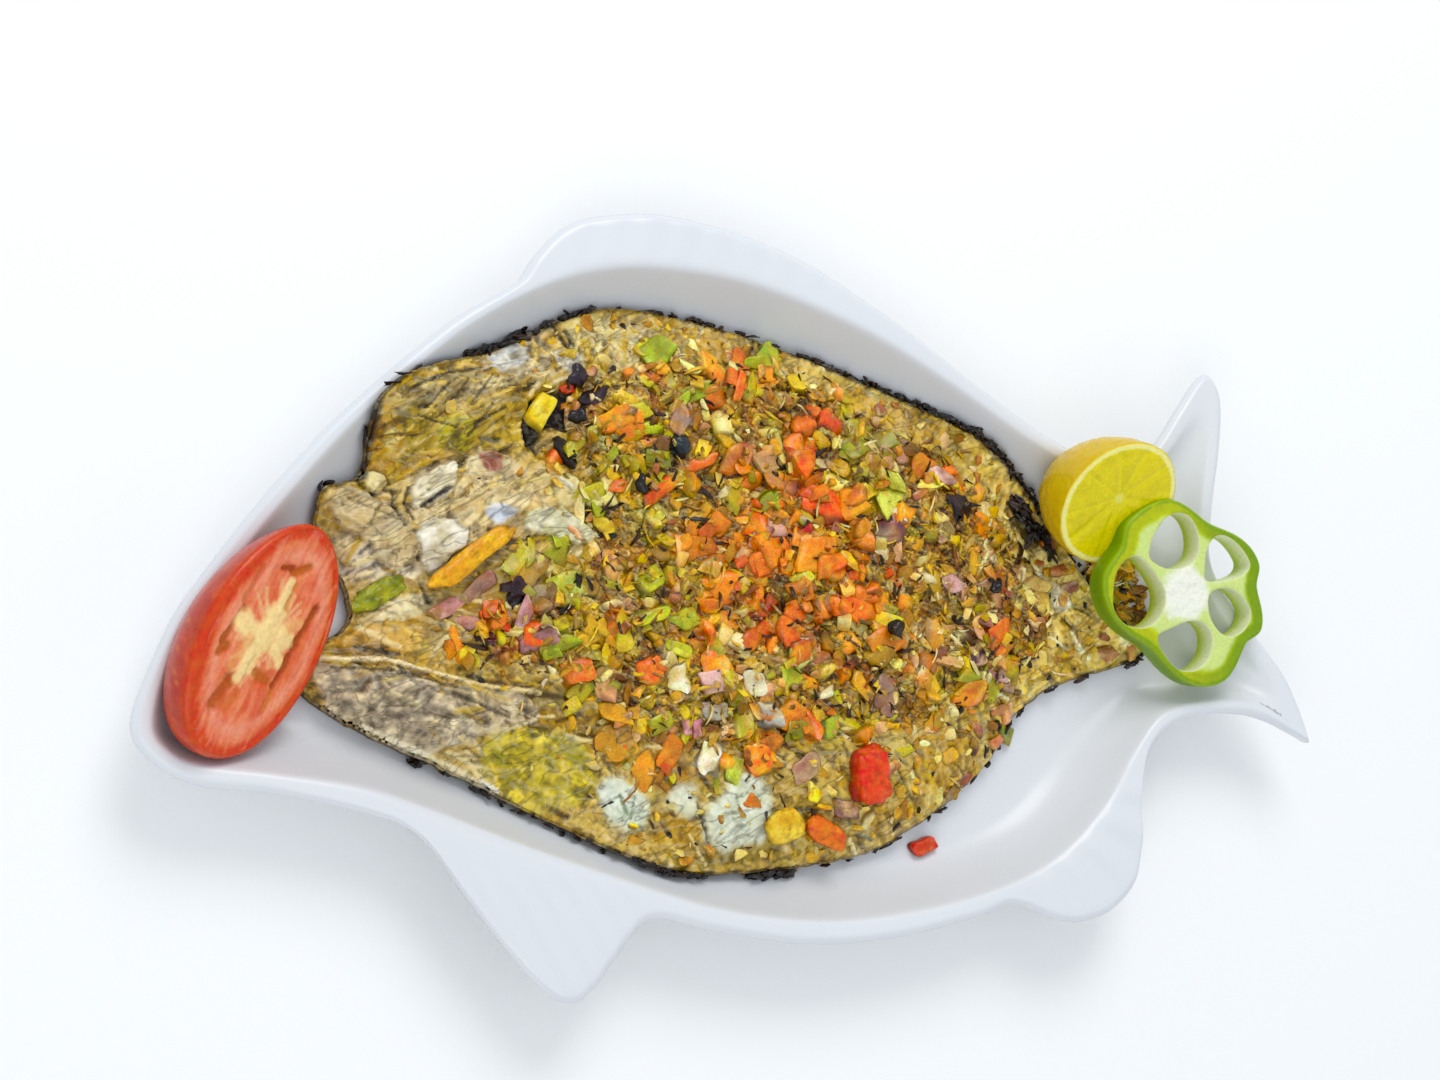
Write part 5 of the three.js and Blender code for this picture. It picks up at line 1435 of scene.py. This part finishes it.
def make_pieces():
    random = np.random.RandomState(17)
    templates = {cells: cube_grid(cells) for cells in (3, 5, 7)}
    made = {kind: ([], [], []) for kind in KINDS}
    counts = dict.fromkeys(KINDS, 0)

    def lay(kind, x, y, size, turn, code, tilt, cells, sink_more=0.0, blend=0.5):
        """Cuts a piece, lays it on the pile and colours it; `blend` is how oily it is."""
        palette, _, squareness, unevenness, bend, lumps, sink = KINDS[kind]
        template, triangles = templates[cells]
        bent = bend * random.uniform(-1, 1)
        points = cut_piece(random, template, size, squareness, unevenness, bent, lumps)
        z, slope_x, slope_y = settle(x, y, size, turn, sink + sink_more)
        tilt_x, tilt_y = random.uniform(-tilt, tilt, 2)
        axes = Matrix.Rotation(math.radians(turn), 3, "Z")
        upright = Vector((-slope_x, -slope_y, 1)).normalized()
        lean = Vector((0, 0, 1)).rotation_difference(upright).to_matrix()
        own = Matrix.Rotation(tilt_x, 3, "X") @ Matrix.Rotation(tilt_y, 3, "Y")
        points = points @ np.array(lean @ axes @ own).T + (x, y, z)
        place = points[:, :2].T
        tint = linear(code) * random.uniform(0.9, 1.55) * random.uniform(0.93, 1.07, 3)
        other = linear(palette[random.randint(len(palette))]) * random.uniform(0.8, 1.2)
        blotches = smooth(rough(*place, 2.6, 117), -0.15, 0.3)
        shade = 1 + 0.2 * np.sin(template @ random.uniform(-2.2, 2.2, 3) + random.uniform(0, 6))
        # Painted shade: each piece is darker round its sides, between its upper and lower faces.
        shade = shade * (1 - 0.75 * smooth(-np.abs(template[:, 2]), -0.95, -0.3))
        tints = mix(tint, other, 0.7 * blotches[:, None]) * shade[:, None]
        oil = np.clip(blend + 0.5 * rough(*place, 3.5, 120), 0, 0.85) * (kind not in UNOILED)
        colours = mix(tints, tint_at(*place) * random.uniform(0.6, 1.75), oil[:, None])
        points = points + 0.35 * noise(*place, 2.2, 123)[:, None] * random.uniform(-1, 1, 3)
        points[:, 2] += 0.4 * rough(*points[:, :2].T, 1.8, 126)
        for store, part in zip(made[kind], (points, triangles + counts[kind], colours)):
            store.append(part)
        counts[kind] += len(points)

    def lay_random(kind, x, y, tilt=0.35, scale=1.0, blend=0.4):
        colours, (shortest, longest, breadth, thickness), *_ = KINDS[kind]
        length = mix(shortest, longest, random.rand() ** 1.5) * scale
        width = length * breadth * random.uniform(0.75, 1.3)
        thick = length * thickness * random.uniform(0.8, 1.3)
        code = colours[random.randint(len(colours))]
        turn = random.uniform(0, 180)
        lay(kind, x, y, (length, width, thick), turn, code, tilt, 3 if length < 6 else 5, 0.1, blend)

    def pick(shares):
        weights = np.array([float(share) for share in shares.values()])
        return list(shares)[random.choice(len(weights), p=weights / weights.sum())]

    def scatter(spacing, tilt, scale):
        spots = points_within(heap_inward, 1, HEAP_BOX, spacing, random, 0.5)
        random.shuffle(spots)
        for x, y in spots:
            lay_random(pick(mixture(x, y)), x, y, tilt, scale)

    def scatter_on_flesh(spacing):
        """Bits that strayed from the heap, and flakes of the flesh itself."""
        spots = hex_points(BIT_BOX, spacing, random, 0.5)
        spots = spots[(sample(heap_inward, *spots.T) < 1.0) & (sample(fish_inward, *spots.T) > 3.5)]
        random.shuffle(spots)
        for x, y in spots:
            strayed = 0.75 * smooth(x, 30, 75) + 0.9 * smooth(float(sample(heap_inward, x, y)), -15, -2)
            head = smooth(-x, 62, 80)
            if random.rand() < strayed * (1 - 0.35 * head):
                lay_random(pick(mixture(x, y)), x, y, 0.3, 0.75)
            elif random.rand() < 0.75 * (1 - 0.75 * head):
                lay_random(pick(FLESH_BITS), x, y, 0.2, 0.8 - 0.3 * head)

    def lay_features():
        for kind, x, y, length, width, thick, turn, code in FEATURES:
            shares = (1.0,) if length * width < FEATURE_CUT else (0.9, 0.55)
            for part, share in enumerate(shares):
                angle = math.radians(turn + random.choice([0, 180]) + random.normal(0, 25))
                shift = 0.35 * length * part
                size = np.array((length, width, thick)) * share * random.uniform(0.9, 1.1, 3)
                place = (x + shift * math.cos(angle), y + shift * math.sin(angle))
                lay(kind, *place, size, turn + random.normal(0, 12 + 15 * part), code, 0.15, 7, 0.1, 0.15)

    def scatter_strands(spacing):
        for x, y in points_within(heap_inward, 1, HEAP_BOX, spacing, random, 0.5):
            lay_random(random.choice(["strand", "burnt_strand"]), x, y, 0.3, 0.8)

    def scatter_under_ring(spacing):
        spots = hex_points(RING_BOX, spacing, random, 0.5)
        for x, y in spots[sample(fish_inward, *spots.T) < 0]:
            lay_random(pick(RING_BITS), x, y, 0.2, 0.8)

    def crumble_edge():
        """Crumbs of char along the fish's edge."""
        for first, last, inset, width, density in CHAR_RUNS:
            run = edge_points(np.linspace(first, last, 9), inset)
            length = np.hypot(*np.diff(run, axis=0).T).sum()
            count = int(0.5 * density * length * min(1, width / 1.6))
            for station in random.uniform(first, last, count):
                drift = inset + random.normal(0, width * 0.3)
                here, ahead = edge_points([station, station + 0.05], drift)
                turn = math.degrees(math.atan2(*(ahead - here)[::-1])) + random.normal(0, 18)
                size = random.uniform((2.2, 0.9, 0.8), (6, 1.9, 1.6)) * (0.7 + 0.15 * width)
                code = KINDS["char_bit"][0][random.randint(4)]
                lay("char_bit", *here, size, turn, code, 0.2, 3, 0.25, 0)

    scatter_on_flesh(5.4)
    scatter(8.0, 0.25, 1.15)
    lay_features()
    scatter(6.2, 0.4, 0.68)
    scatter_strands(8.0)
    scatter_under_ring(2.2)
    crumble_edge()
    for kind, parts in made.items():
        points, triangles, colours = map(np.concatenate, parts)
        material = food_material(f"{kind}_flesh", "chopped")
        add_piece(f"chopped_{kind}", points, triangles, material, colours,
                  crisp=50)


make_pieces()

# ---- garnish ----


def axes_of(spot):
    """The directions of a cut face's own plane, as columns."""
    turn = Matrix.Rotation(math.radians(spot["turn"]), 3, "Z")
    lean = Matrix.Rotation(math.radians(spot["lean"]), 3, "X")
    return np.array(turn @ lean)


def placed(points, spot):
    """Points from a cut face's own plane, put in their place on the platter."""
    return rested(points @ axes_of(spot).T + (spot["x"], spot["y"], spot["z"]))


def support(x, y):
    """The height of what lies under a garnish: the dish or the fish."""
    lying = np.where(sample(fish_inward, x, y) > 0, fish_top(x, y), -100)
    return np.maximum(dish_top(x, y), lying)


def rested(points):
    """Keeps a piece clear of what carries it."""
    points = points.copy()
    points[:, 2] = np.maximum(points[:, 2], support(*points[:, :2].T) + GAP)
    return points


HALF_MATERIALS = {"tomato_half": "tomato_flesh_and_skin", "lemon_half": "lemon_pulp_and_peel"}
GARNISH_POINTS = 150  # points round each loop of a halved fruit


def around(count):
    """Angles all the way round."""
    return np.linspace(0, 2 * math.pi, count, endpoint=False)


def add_half(node, spot, loops, skin, face, face_triangles, height, colours):
    """A halved fruit: loops from its pole up to the cut, and the cut's painted face."""
    count = len(loops[0])
    start = len(loops) * count
    joint = ladder(start - count, start, count)
    pole = fill(loops[0][:, :2])[:, ::-1]
    faces = np.concatenate([ladders(0, count, len(loops)), joint, face_triangles + start, pole])
    points = placed(np.concatenate([*loops, at_height(face, height)]), spot)
    material = food_material(HALF_MATERIALS[node], node.split("_")[0])
    add_piece(f"{node}_cut", points, faces, material, np.concatenate([skin, colours]),
              nodes=[node])


TOMATO = {"x": -179, "y": -5.5, "z": 33.5, "turn": 55, "lean": 36}
TOMATO_SIZE = np.array((40.5, 26))  # half length and half width
TOMATO_DEPTH = 26
TOMATO_SKEW = -5
TOMATO_CUT = np.array((38.8, 23.2))  # the same of the cut face
TOMATO_LEVELS = (0.999, 0.985, 0.95, 0.9, 0.84, 0.77, 0.7, 0.62, 0.54, 0.46, 0.38, 0.3, 0.22,
                 0.16, 0.11, 0.07)  # from the pole up, as shares of the depth
TOMATO_STROKES = [  # two ends, half width, height, colour, strength
    (-26, 8, -17, 6, 2.6, -0.9, "B4500F", 0.85),
    (-24, 3, -20, 1, 2.4, -0.3, "D86E34", 0.7),
    (-12, 16, -9, 14, 1.8, -0.7, "B85C12", 0.9),
    (-9, 17, 4, 15.5, 1.3, -0.7, "AE5412", 0.85),
    (6, 17, 18, 17, 1.4, -0.4, "C95A34", 0.6),
    (22, 9, 24, 5, 1.4, -0.8, "A8420E", 0.9),
    (23, 4, 28, -1, 1.6, -0.8, "BC5812", 0.85),
    (-10, -11.5, 1, -11.5, 1.4, -0.9, "A4440E", 0.9),
    (4, -11, 19, -12, 1.7, -0.9, "A4440E", 0.9),
    (-19, -12.5, -12, -12, 1.4, -0.6, "CA6A26", 0.7),
    (-10, -8, -10, -2, 2.0, -0.7, "C06014", 0.85),
    (-11, 2, -7, 1, 1.1, -0.6, "C4701E", 0.8),
    (12, 0, 20, 1, 1.0, -0.4, "D08A34", 0.7),
    (-9, 3.5, 8, 3, 4.6, 0.3, "FFDE9C", 0.95),
    (2, 1, 3, -4, 5.4, 0.3, "FFDE9C", 0.9),
    (0, 5, 0, 13, 4.4, 0.3, "FFDE9C", 0.95),
    (-6, 4.5, -15, 4, 1.7, 0.3, "FFDE9C", 0.9),
    (6, 3.4, 20, 3.4, 1.8, 0.3, "FFDE9C", 0.9),
    (-1, -4, -3, -8.5, 2.2, 0.3, "FFDE9C", 0.85),
    (4, -4, 5, -8.5, 2.4, 0.3, "FFDE9C", 0.85),
    (8, -5, 11, -8.5, 2.2, 0.3, "F4B878", 0.75),
    (-14, 9, -3, 8, 2.2, 0.1, "ECA868", 0.6),
]


def tomato_rays(random):
    """Pale fibres that run out from the tomato's core."""
    rows = []
    for _ in range(46):
        angle = random.uniform(0, 2 * math.pi)
        start = np.array((10 * math.cos(angle), 2 + 5 * math.sin(angle)))
        end = start * random.uniform(1.3, 2.1) + random.normal(0, 1, 2)
        rows.append((*start, *end, random.uniform(0.5, 1.0), 0.1, "F8C890", 0.55))
    return rows


def make_tomato():
    angle = around(GARNISH_POINTS)
    wobble = 1 + 0.008 * np.sin(3 * angle + 1) + 0.006 * np.sin(5 * angle)
    ring = np.column_stack([np.cos(angle) * wobble, np.sin(angle) * wobble])
    loops = []
    for level in TOMATO_LEVELS:
        loop = ring * (TOMATO_SIZE * math.sqrt(1 - level**2.2)) + (TOMATO_SKEW * level, 0)
        loops.append(at_height(loop, -TOMATO_DEPTH * level))
    for share, z in ((0.75, -1.0), (0.45, -0.35), (0.18, -0.06)):
        loops.append(at_height(ring * mix(TOMATO_CUT, TOMATO_SIZE, share), z))
    random = np.random.RandomState(21)
    inner = hex_points((-41, 41, -27, 27), 0.75, random)
    inner = inner[oval(*inner.T, 0, 0, *(TOMATO_CUT - 0.6)) < 1]
    edge = ring * TOMATO_CUT
    x, y = face = np.concatenate([edge, inner]).T
    reach = oval(x, y, 0, 0, *TOMATO_CUT)
    colours = shaded("E4603C", "F69870", 0.5 + 0.5 * rough(x, y, 6, 130))
    colours = tinted(colours, "D84824", smooth(reach, 0.88, 0.97))
    height = 0.15 * rough(x, y, 4, 133) - 0.3 * smooth(reach, 0.9, 1)
    colours = tinted(colours, "FAB094", 0.45 * np.exp(-(((reach - 0.78) / 0.07) ** 2)))
    rays = fibres(x, y, 4, 11, 1.3, 160)
    colours = tinted(colours, "FBB896", 0.3 * smooth(rays, 0.0, 0.6))
    colours = tinted(colours, "CC4A22", 0.35 * smooth(-rays, 0.0, 0.6))
    draw_strokes(colours, height, x, y, tomato_rays(random), 190)
    draw_strokes(colours, height, x, y, TOMATO_STROKES, 140)
    x, y, z = np.concatenate(loops).T
    skin = shaded("C23A1A", "A82E12", 0.5 + 0.5 * rough(x, y, 16, 150))
    lengthwise = np.arctan2(y / TOMATO_SIZE[1], x / TOMATO_SIZE[0]) * 14
    streaks = rough(lengthwise, z * 0.25, 1.3, 152)
    skin = tinted(skin, "DE5A2A", 0.5 * smooth(streaks, 0, 0.6))
    skin = tinted(skin, "E88A50", 0.5 * smooth(rough(x + z, y - z, 2.2, 155), 0.5, 0.65))
    skin = tinted(skin, "D8502A", 0.8 * smooth(z, -4, -0.4))
    add_half("tomato_half", TOMATO, loops, skin, face.T, fill(edge, inner), height, colours)


LEMON = {"x": 139.5, "y": 15.5, "z": 44, "turn": 4, "lean": 36}
LEMON_RADIUS = 24.5
LEMON_HALF_LENGTH = 30
LEMON_NUB = 1.2
LEMON_PEEL = 0.8
LEMON_AXIS = np.array((-0.55, 0.36, -0.75)) / math.hypot(-0.55, 0.36, -0.75)
LEMON_CENTRE = (0, 2)
LEMON_SPOKES = (-176, -148, -105, -79, -48, -12, 32, 66, 98, 140)  # degrees of the membranes


def lemon_reach(directions):
    """The lemon's radius in a direction, with the nub at its end."""
    cosine = directions @ LEMON_AXIS
    reach = 1 / np.sqrt((1 - cosine**2) / LEMON_RADIUS**2 + cosine**2 / LEMON_HALF_LENGTH**2)
    angle = np.arccos(np.clip(cosine, -1, 1))
    return reach + LEMON_NUB * np.exp(-((angle / 0.17) ** 2)) * (1 + 0.2 * np.cos(9 * angle))


def make_lemon():
    axes = axes_of(LEMON)
    angle = around(GARNISH_POINTS)
    ring = np.column_stack([np.cos(angle), np.sin(angle), np.zeros(GARNISH_POINTS)])
    loops = []
    for lift in np.radians(np.concatenate([np.linspace(88, 2.5, 44), [1.2, 0.4]])):
        local = ring * math.cos(lift) - np.array((0, 0, 1)) * math.sin(lift)
        grain = noise(angle * 14 + 50, np.full(GARNISH_POINTS, lift * 24), 1, 5)
        grain = grain + noise(angle * 9, np.full(GARNISH_POINTS, lift * 16), 1, 7)
        reach = lemon_reach(local @ axes.T) * 0.995 + 0.18 * grain
        loops.append(local * reach[:, None])

    def rim_towards(points):
        """How far out the rim is in each point's direction from the middle of the cut."""
        away = np.maximum(np.hypot(*points.T), 0.01)
        return lemon_reach(at_height(points, 0) / away[:, None] @ axes.T)

    edge = ring[:, :2] * (lemon_reach(ring @ axes.T) - LEMON_PEEL)[:, None]
    inner = hex_points((-28, 28, -28, 28), 0.65, np.random.RandomState(22))
    inner = inner[np.hypot(*inner.T) < rim_towards(inner) - LEMON_PEEL - 0.6]
    face = np.concatenate([edge, inner])
    x, y = face.T
    from_rim = rim_towards(face) - np.hypot(x, y)
    out = np.hypot(x - LEMON_CENTRE[0], y - LEMON_CENTRE[1])
    nearest = np.full(len(x), 99.0)
    for spoke in np.radians(LEMON_SPOKES):
        tip = (26 * math.cos(spoke), 26 * math.sin(spoke))
        nearest = np.minimum(nearest, stroke_distance(x, y, *LEMON_CENTRE, *tip))
    colours = shaded("F2DE10", "DCCC08", 0.5 + 0.5 * rough(x, y, 5, 170))
    colours = colours * (0.95 + 0.1 * ridges(x * np.cos(np.arctan2(y, x)), y, 2.6, 175))[:, None]
    colours = tinted(colours, "F4EC7C", 0.45 * smooth(-nearest, -0.75, -0.3) * smooth(out, 1, 4))
    core = smooth(-out - 0.6 * rough(x, y, 2, 173), -3.0, -1.6)
    colours = tinted(colours, "EDE68C", 0.9 * core)
    pith = smooth(-from_rim - 0.35 * rough(x, y, 3, 174), -2.9, -2.2)
    colours = tinted(colours, "F8F2AC", pith)
    peel = smooth(-from_rim, -0.9, -0.5)
    colours = tinted(colours, "EED828", peel)
    height = 0.12 * fibres(x, y, 0, 1, 1, 171) + 0.35 * smooth(nearest, 0.3, 2.5)
    height = height * (1 - pith) + 0.25 * pith - 0.25 * peel
    x, y, _ = np.concatenate(loops).T
    skin = shaded("DDB40A", "D2B812", 0.5 + 0.5 * rough(x, y, 9, 176))
    add_half("lemon_half", LEMON, loops, skin, face, fill(edge, inner), height, colours)


PEPPER = {"x": 165.7, "y": -18.2, "z": 29.5, "turn": 0, "lean": 8}
PEPPER_THICK = 10.5
PEPPER_POINTS = 220  # points round its outer wall
PEPPER_BEVEL = ((0.55, 0.35), (0.12, 1.0), (0, 2.2))  # how far in, how far from a cut face
PEPPER_OUTLINE = [  # direction in degrees, radius
    (-131, 25.5), (-66, 38), (-39, 34.5), (-26, 38.5), (0, 34), (13, 36.8), (61, 29), (104, 36.5),
    (128, 36.5), (144, 33), (168, 36.5),
]
PEPPER_CHAMBERS = [  # corners
    [(-32, 0), (-30, 9), (-25.5, 14), (-19.5, 15), (-14.5, 10.5), (-11, 5.5), (-9, 0.5), (-10, -5),
     (-14, -9.5), (-20, -11.2), (-27, -9.3), (-31, -5)],
    [(-14.5, 15), (-13, 20.5), (-8.5, 26.5), (-2, 29.8), (4, 28.5), (7.5, 23.5), (8, 17), (5.5, 12),
     (-0.5, 9.5), (-7, 9.8), (-11.8, 12)],
    [(10, 7.5), (11.5, 14.5), (15, 19.2), (19.5, 20), (25, 17), (29.5, 11.5), (30.5, 7.5), (27, 4.5),
     (20, 3.2), (13.5, 3), (10, 4.5)],
    [(11.5, -1.5), (16, 0.2), (21.5, -0.3), (26.5, -3.8), (29.5, -9.8), (26.5, -15.5), (20.5, -18),
     (15, -16), (11.5, -11), (10.5, -6)],
    [(-13, -14.8), (-6.5, -12.5), (1, -10.8), (7.5, -12), (11, -17), (9.5, -24), (3.5, -28.8),
     (-4, -28.6), (-8.5, -25.3), (-12.5, -19.5)],
]


def pepper_loop(inset):
    """The pepper's outer loop, moved inwards by that much."""
    degrees = np.linspace(0, 360, PEPPER_POINTS, endpoint=False)
    rows = np.array([*PEPPER_OUTLINE, (PEPPER_OUTLINE[0][0] + 360, PEPPER_OUTLINE[0][1])])
    starts, radii = rows.T
    at = starts[0] + np.mod(degrees - starts[0], 360)
    index = np.searchsorted(starts, at, side="right") - 1
    share = smooth((at - starts[index]) / (starts[index + 1] - starts[index]), 0, 1)
    radius = mix(radii[index], radii[index + 1], share) - inset
    return np.column_stack([radius * np.cos(np.radians(degrees)), radius * np.sin(np.radians(degrees))])


def chamber_loop(chamber, grow):
    """A chamber's loop, moved outwards by that much."""
    loop = rounded(chamber)
    return (loop + grow * outwards(loop))[:: facing(loop)]


def make_pepper():
    outer = pepper_loop(1.3)
    holes = [chamber_loop(chamber, 0.45) for chamber in PEPPER_CHAMBERS]
    inner = hex_points((-40, 40, -40, 40), 0.8, np.random.RandomState(23))
    inner = inner[inside(pepper_loop(1.9), *inner.T)]
    for chamber in PEPPER_CHAMBERS:
        inner = inner[~inside(chamber_loop(chamber, 0.9), *inner.T)]
    face = np.concatenate([outer, *holes, inner])
    x, y = face.T
    core = smooth(-np.hypot(x, y) - 3.0 * rough(x, y, 6, 180), -13, -8)
    skinward = distance_inside(outer, x, y) + 0.8 * rough(x, y, 5, 182)
    green = shaded("B4BE00", "80A000", smooth(x, -10, 26)) * (1 + 0.12 * rough(x, y, 4, 181))[:, None]
    colours = mix(linear("D6E2A4"), green, smooth(-skinward, -6.5, -3.2)[:, None])
    colours = tinted(colours, "6E9A10", 0.8 * smooth(-skinward, -0.8, -0.1))
    colours = tinted(colours, "F4F4E8", core)
    height = 0.6 * core * rough(x, y, 2.4, 183) + 0.12 * rough(x, y, 5, 184)
    upper_faces = fill(outer, inner, holes)
    points = [at_height(face, PEPPER_THICK + height), at_height(face, -height)]
    tints = [colours, colours]
    faces = [upper_faces, upper_faces[:, ::-1] + len(face)]

    levels = [*PEPPER_BEVEL, (0, PEPPER_THICK / 2)]
    levels += [(inset, PEPPER_THICK - z) for inset, z in reversed(PEPPER_BEVEL)]
    walls = [(1, [pepper_loop(inset) for inset, _ in levels])]
    for chamber in PEPPER_CHAMBERS:
        walls.append((-1, [chamber_loop(chamber, inset * 0.35) for inset, _ in levels]))
    upper = 0
    for side, loops in walls:
        count = len(loops[0])
        start = sum(map(len, points))
        rungs = [ladder(len(face) + upper, start, count)]
        rungs += [ladder(start + (len(loops) - 1) * count, upper, count), ladders(start, count, len(loops))]
        faces.append(np.concatenate(rungs)[:, ::side])
        z = np.repeat([z for _, z in levels], count)
        points.append(at_height(np.concatenate(loops), z))
        outside = shaded("92B00A", "6E9404", smooth(np.abs(z - 5.2), 5, 2))
        # Painted shade: the chamber walls are greener and darker towards the bottom of the ring and paler
        # towards its upper cut.
        tints.append(outside if side == 1 else shaded("C4D478", "E8ECCC", smooth(z, 1, 8)))
        upper += count
    points = placed(np.concatenate(points), PEPPER)
    material = food_material("green_pepper_ring", "pepper")
    add_piece("pepper_ring_cut", points, np.concatenate(faces), material, np.concatenate(tints),
              nodes=["pepper_ring"])


make_tomato()
make_lemon()
make_pepper()

# ---- loose pieces ----

LOOSE = [  # node, slot, x, y, size, turn, height over the fish, two colours, squareness, roughness
    ("tomato_chunk", "red_pieces", 32, -71, (15, 21, 10), -8, 3.3, "DC3A22", "F2705A", 4, 1.5),
    ("tomato_piece_belly", "orange_pieces", 14, -89, (16, 9, 6), -35, 2.1, "E0602A", "F08A38", 3.5, 1.6),
    ("pepper_piece_belly", "yellow_pieces", -3, -85, (16, 12, 7), 10, 2.1, "DCA430", "F0D060", 3, 1.4),
    ("yellow_piece_gill", "yellow_pieces", -73, 66.5, (8, 11, 7), -35, 2.1, "F0C818", "FAEC80", 7, 0.3),
    ("green_leaf_head", "green_pieces", -136, 9, (21, 8, 3), 18, 1.3, "66700E", "B4B430", 2.6, 2.2),
    ("yellow_pepper_strip", "yellow_pieces", -104, 18, (36, 8, 5), 31, 2.5, "E09208", "F6BE20", 4, 1.5),
    ("fallen_tomato_piece", "red_pieces", 58, -99, (10, 6, 5), 15, 1.8, "D04028", "E0705A", 4, 0.6),
]


def make_loose():
    random = np.random.RandomState(31)
    template, triangles = cube_grid(18)
    material = food_material("loose_vegetables", "loose")
    for node, slot, x, y, size, turn, lift, code, second, squareness, roughness in LOOSE:
        points = cut_piece(random, template, size, squareness, 0.22, 0.1, 0.06)
        bumps = rough(points[:, 0] + points[:, 2], points[:, 1] - points[:, 2], 4, 191)
        points = points * (1 + 0.12 * roughness * bumps)[:, None]
        fine = rough(*points[:, :2].T, 1.6, 195)
        points[:, 2] += 0.5 * roughness * fine
        axes = Matrix.Rotation(math.radians(turn), 3, "Z")
        ground = dish_top(x, y) if node == "fallen_tomato_piece" else fish_top(x, y)
        points = rested(points @ np.array(axes).T + (x, y, ground + lift))
        tone = np.clip(0.5 + 0.9 * rough(*points[:, :2].T, 3.5, 190), 0, 1)
        colours = tinted(shaded(code, second, tone), "7A4A10", 0.4 * smooth(-fine, 0.1, 0.6))
        # Painted shade: each loose piece darkens towards its underside, down to 0.45 of its colour.
        colours = colours * mix(0.45, 1, smooth(template[:, 2], -0.2, 0.8))[:, None]
        add_piece(f"{node}_cut", points, triangles, material, colours, nodes=[node])


make_loose()

# ---- stage: floor, lights and camera ----

CAMERA_PLACE = (-355.85, -78.56, 751.08)
CAMERA_RIGHT = (0.9034981, -0.1342685, 0.40701739)
CAMERA_UP = (0.07288326, 0.98396236, 0.16280696)
PHOTO_WIDTH = 1440
FOCAL_IN_PIXELS = 2318.66
SENSOR = 36
FLOOR_HALF = 3.0  # metres, as the lights and the camera's range below
FLOOR_GAP = 0.0005


def make_camera():
    data = bpy.data.cameras.new("camera")
    data.sensor_width = SENSOR
    data.lens = FOCAL_IN_PIXELS * SENSOR / PHOTO_WIDTH
    data.clip_start = 0.05
    data.clip_end = 20
    camera = bpy.data.objects.new("camera", data)
    right, up = Vector(CAMERA_RIGHT), Vector(CAMERA_UP)
    axes = Matrix((right, up, right.cross(up))).transposed().to_4x4()
    camera.matrix_world = Matrix.Translation(Vector(CAMERA_PLACE) * MM) @ axes
    bpy.context.scene.collection.objects.link(camera)
    bpy.context.scene.camera = camera


def make_floor():
    mesh = bpy.data.meshes.new("floor")
    corners = [(x * FLOOR_HALF, y * FLOOR_HALF, 0) for x, y in ((-1, -1), (1, -1), (1, 1), (-1, 1))]
    mesh.from_pydata(corners, [], [(0, 1, 2, 3)])
    material, _, shader = new_material("floor")
    set_inputs(shader, Base_Color=(0.96, 0.96, 0.96, 1), Roughness=0.9)
    mesh.materials.append(material)
    floor = bpy.data.objects.new("floor", mesh)
    floor.location.z = -FLOOR_GAP
    bpy.context.scene.collection.objects.link(floor)


def add_light(name, place, aim, size, power, tone):
    data = bpy.data.lights.new(name, "AREA")
    data.shape = "DISK"
    data.size = size
    data.energy = power
    data.color = tone
    light = bpy.data.objects.new(name, data)
    light.location = place
    light.rotation_euler = (Vector(aim) - Vector(place)).to_track_quat("-Z", "Y").to_euler()
    bpy.context.scene.collection.objects.link(light)


def make_lights():
    world = bpy.data.worlds.new("soft_room")
    world.use_nodes = True
    set_inputs(world.node_tree.nodes["Background"], Color=(0.88, 0.94, 1.0, 1), Strength=0.74)
    bpy.context.scene.world = world
    add_light("window", (0.15, 1.1, 1.15), (0, 0, 0), 0.9, 9.5, (1.0, 0.99, 0.97))
    add_light("room", (-0.9, -0.9, 1.4), (0, 0, 0), 1.2, 5.5, (1.0, 0.98, 0.95))


make_camera()
make_floor()
make_lights()
bpy.context.scene.view_settings.view_transform = "Standard"
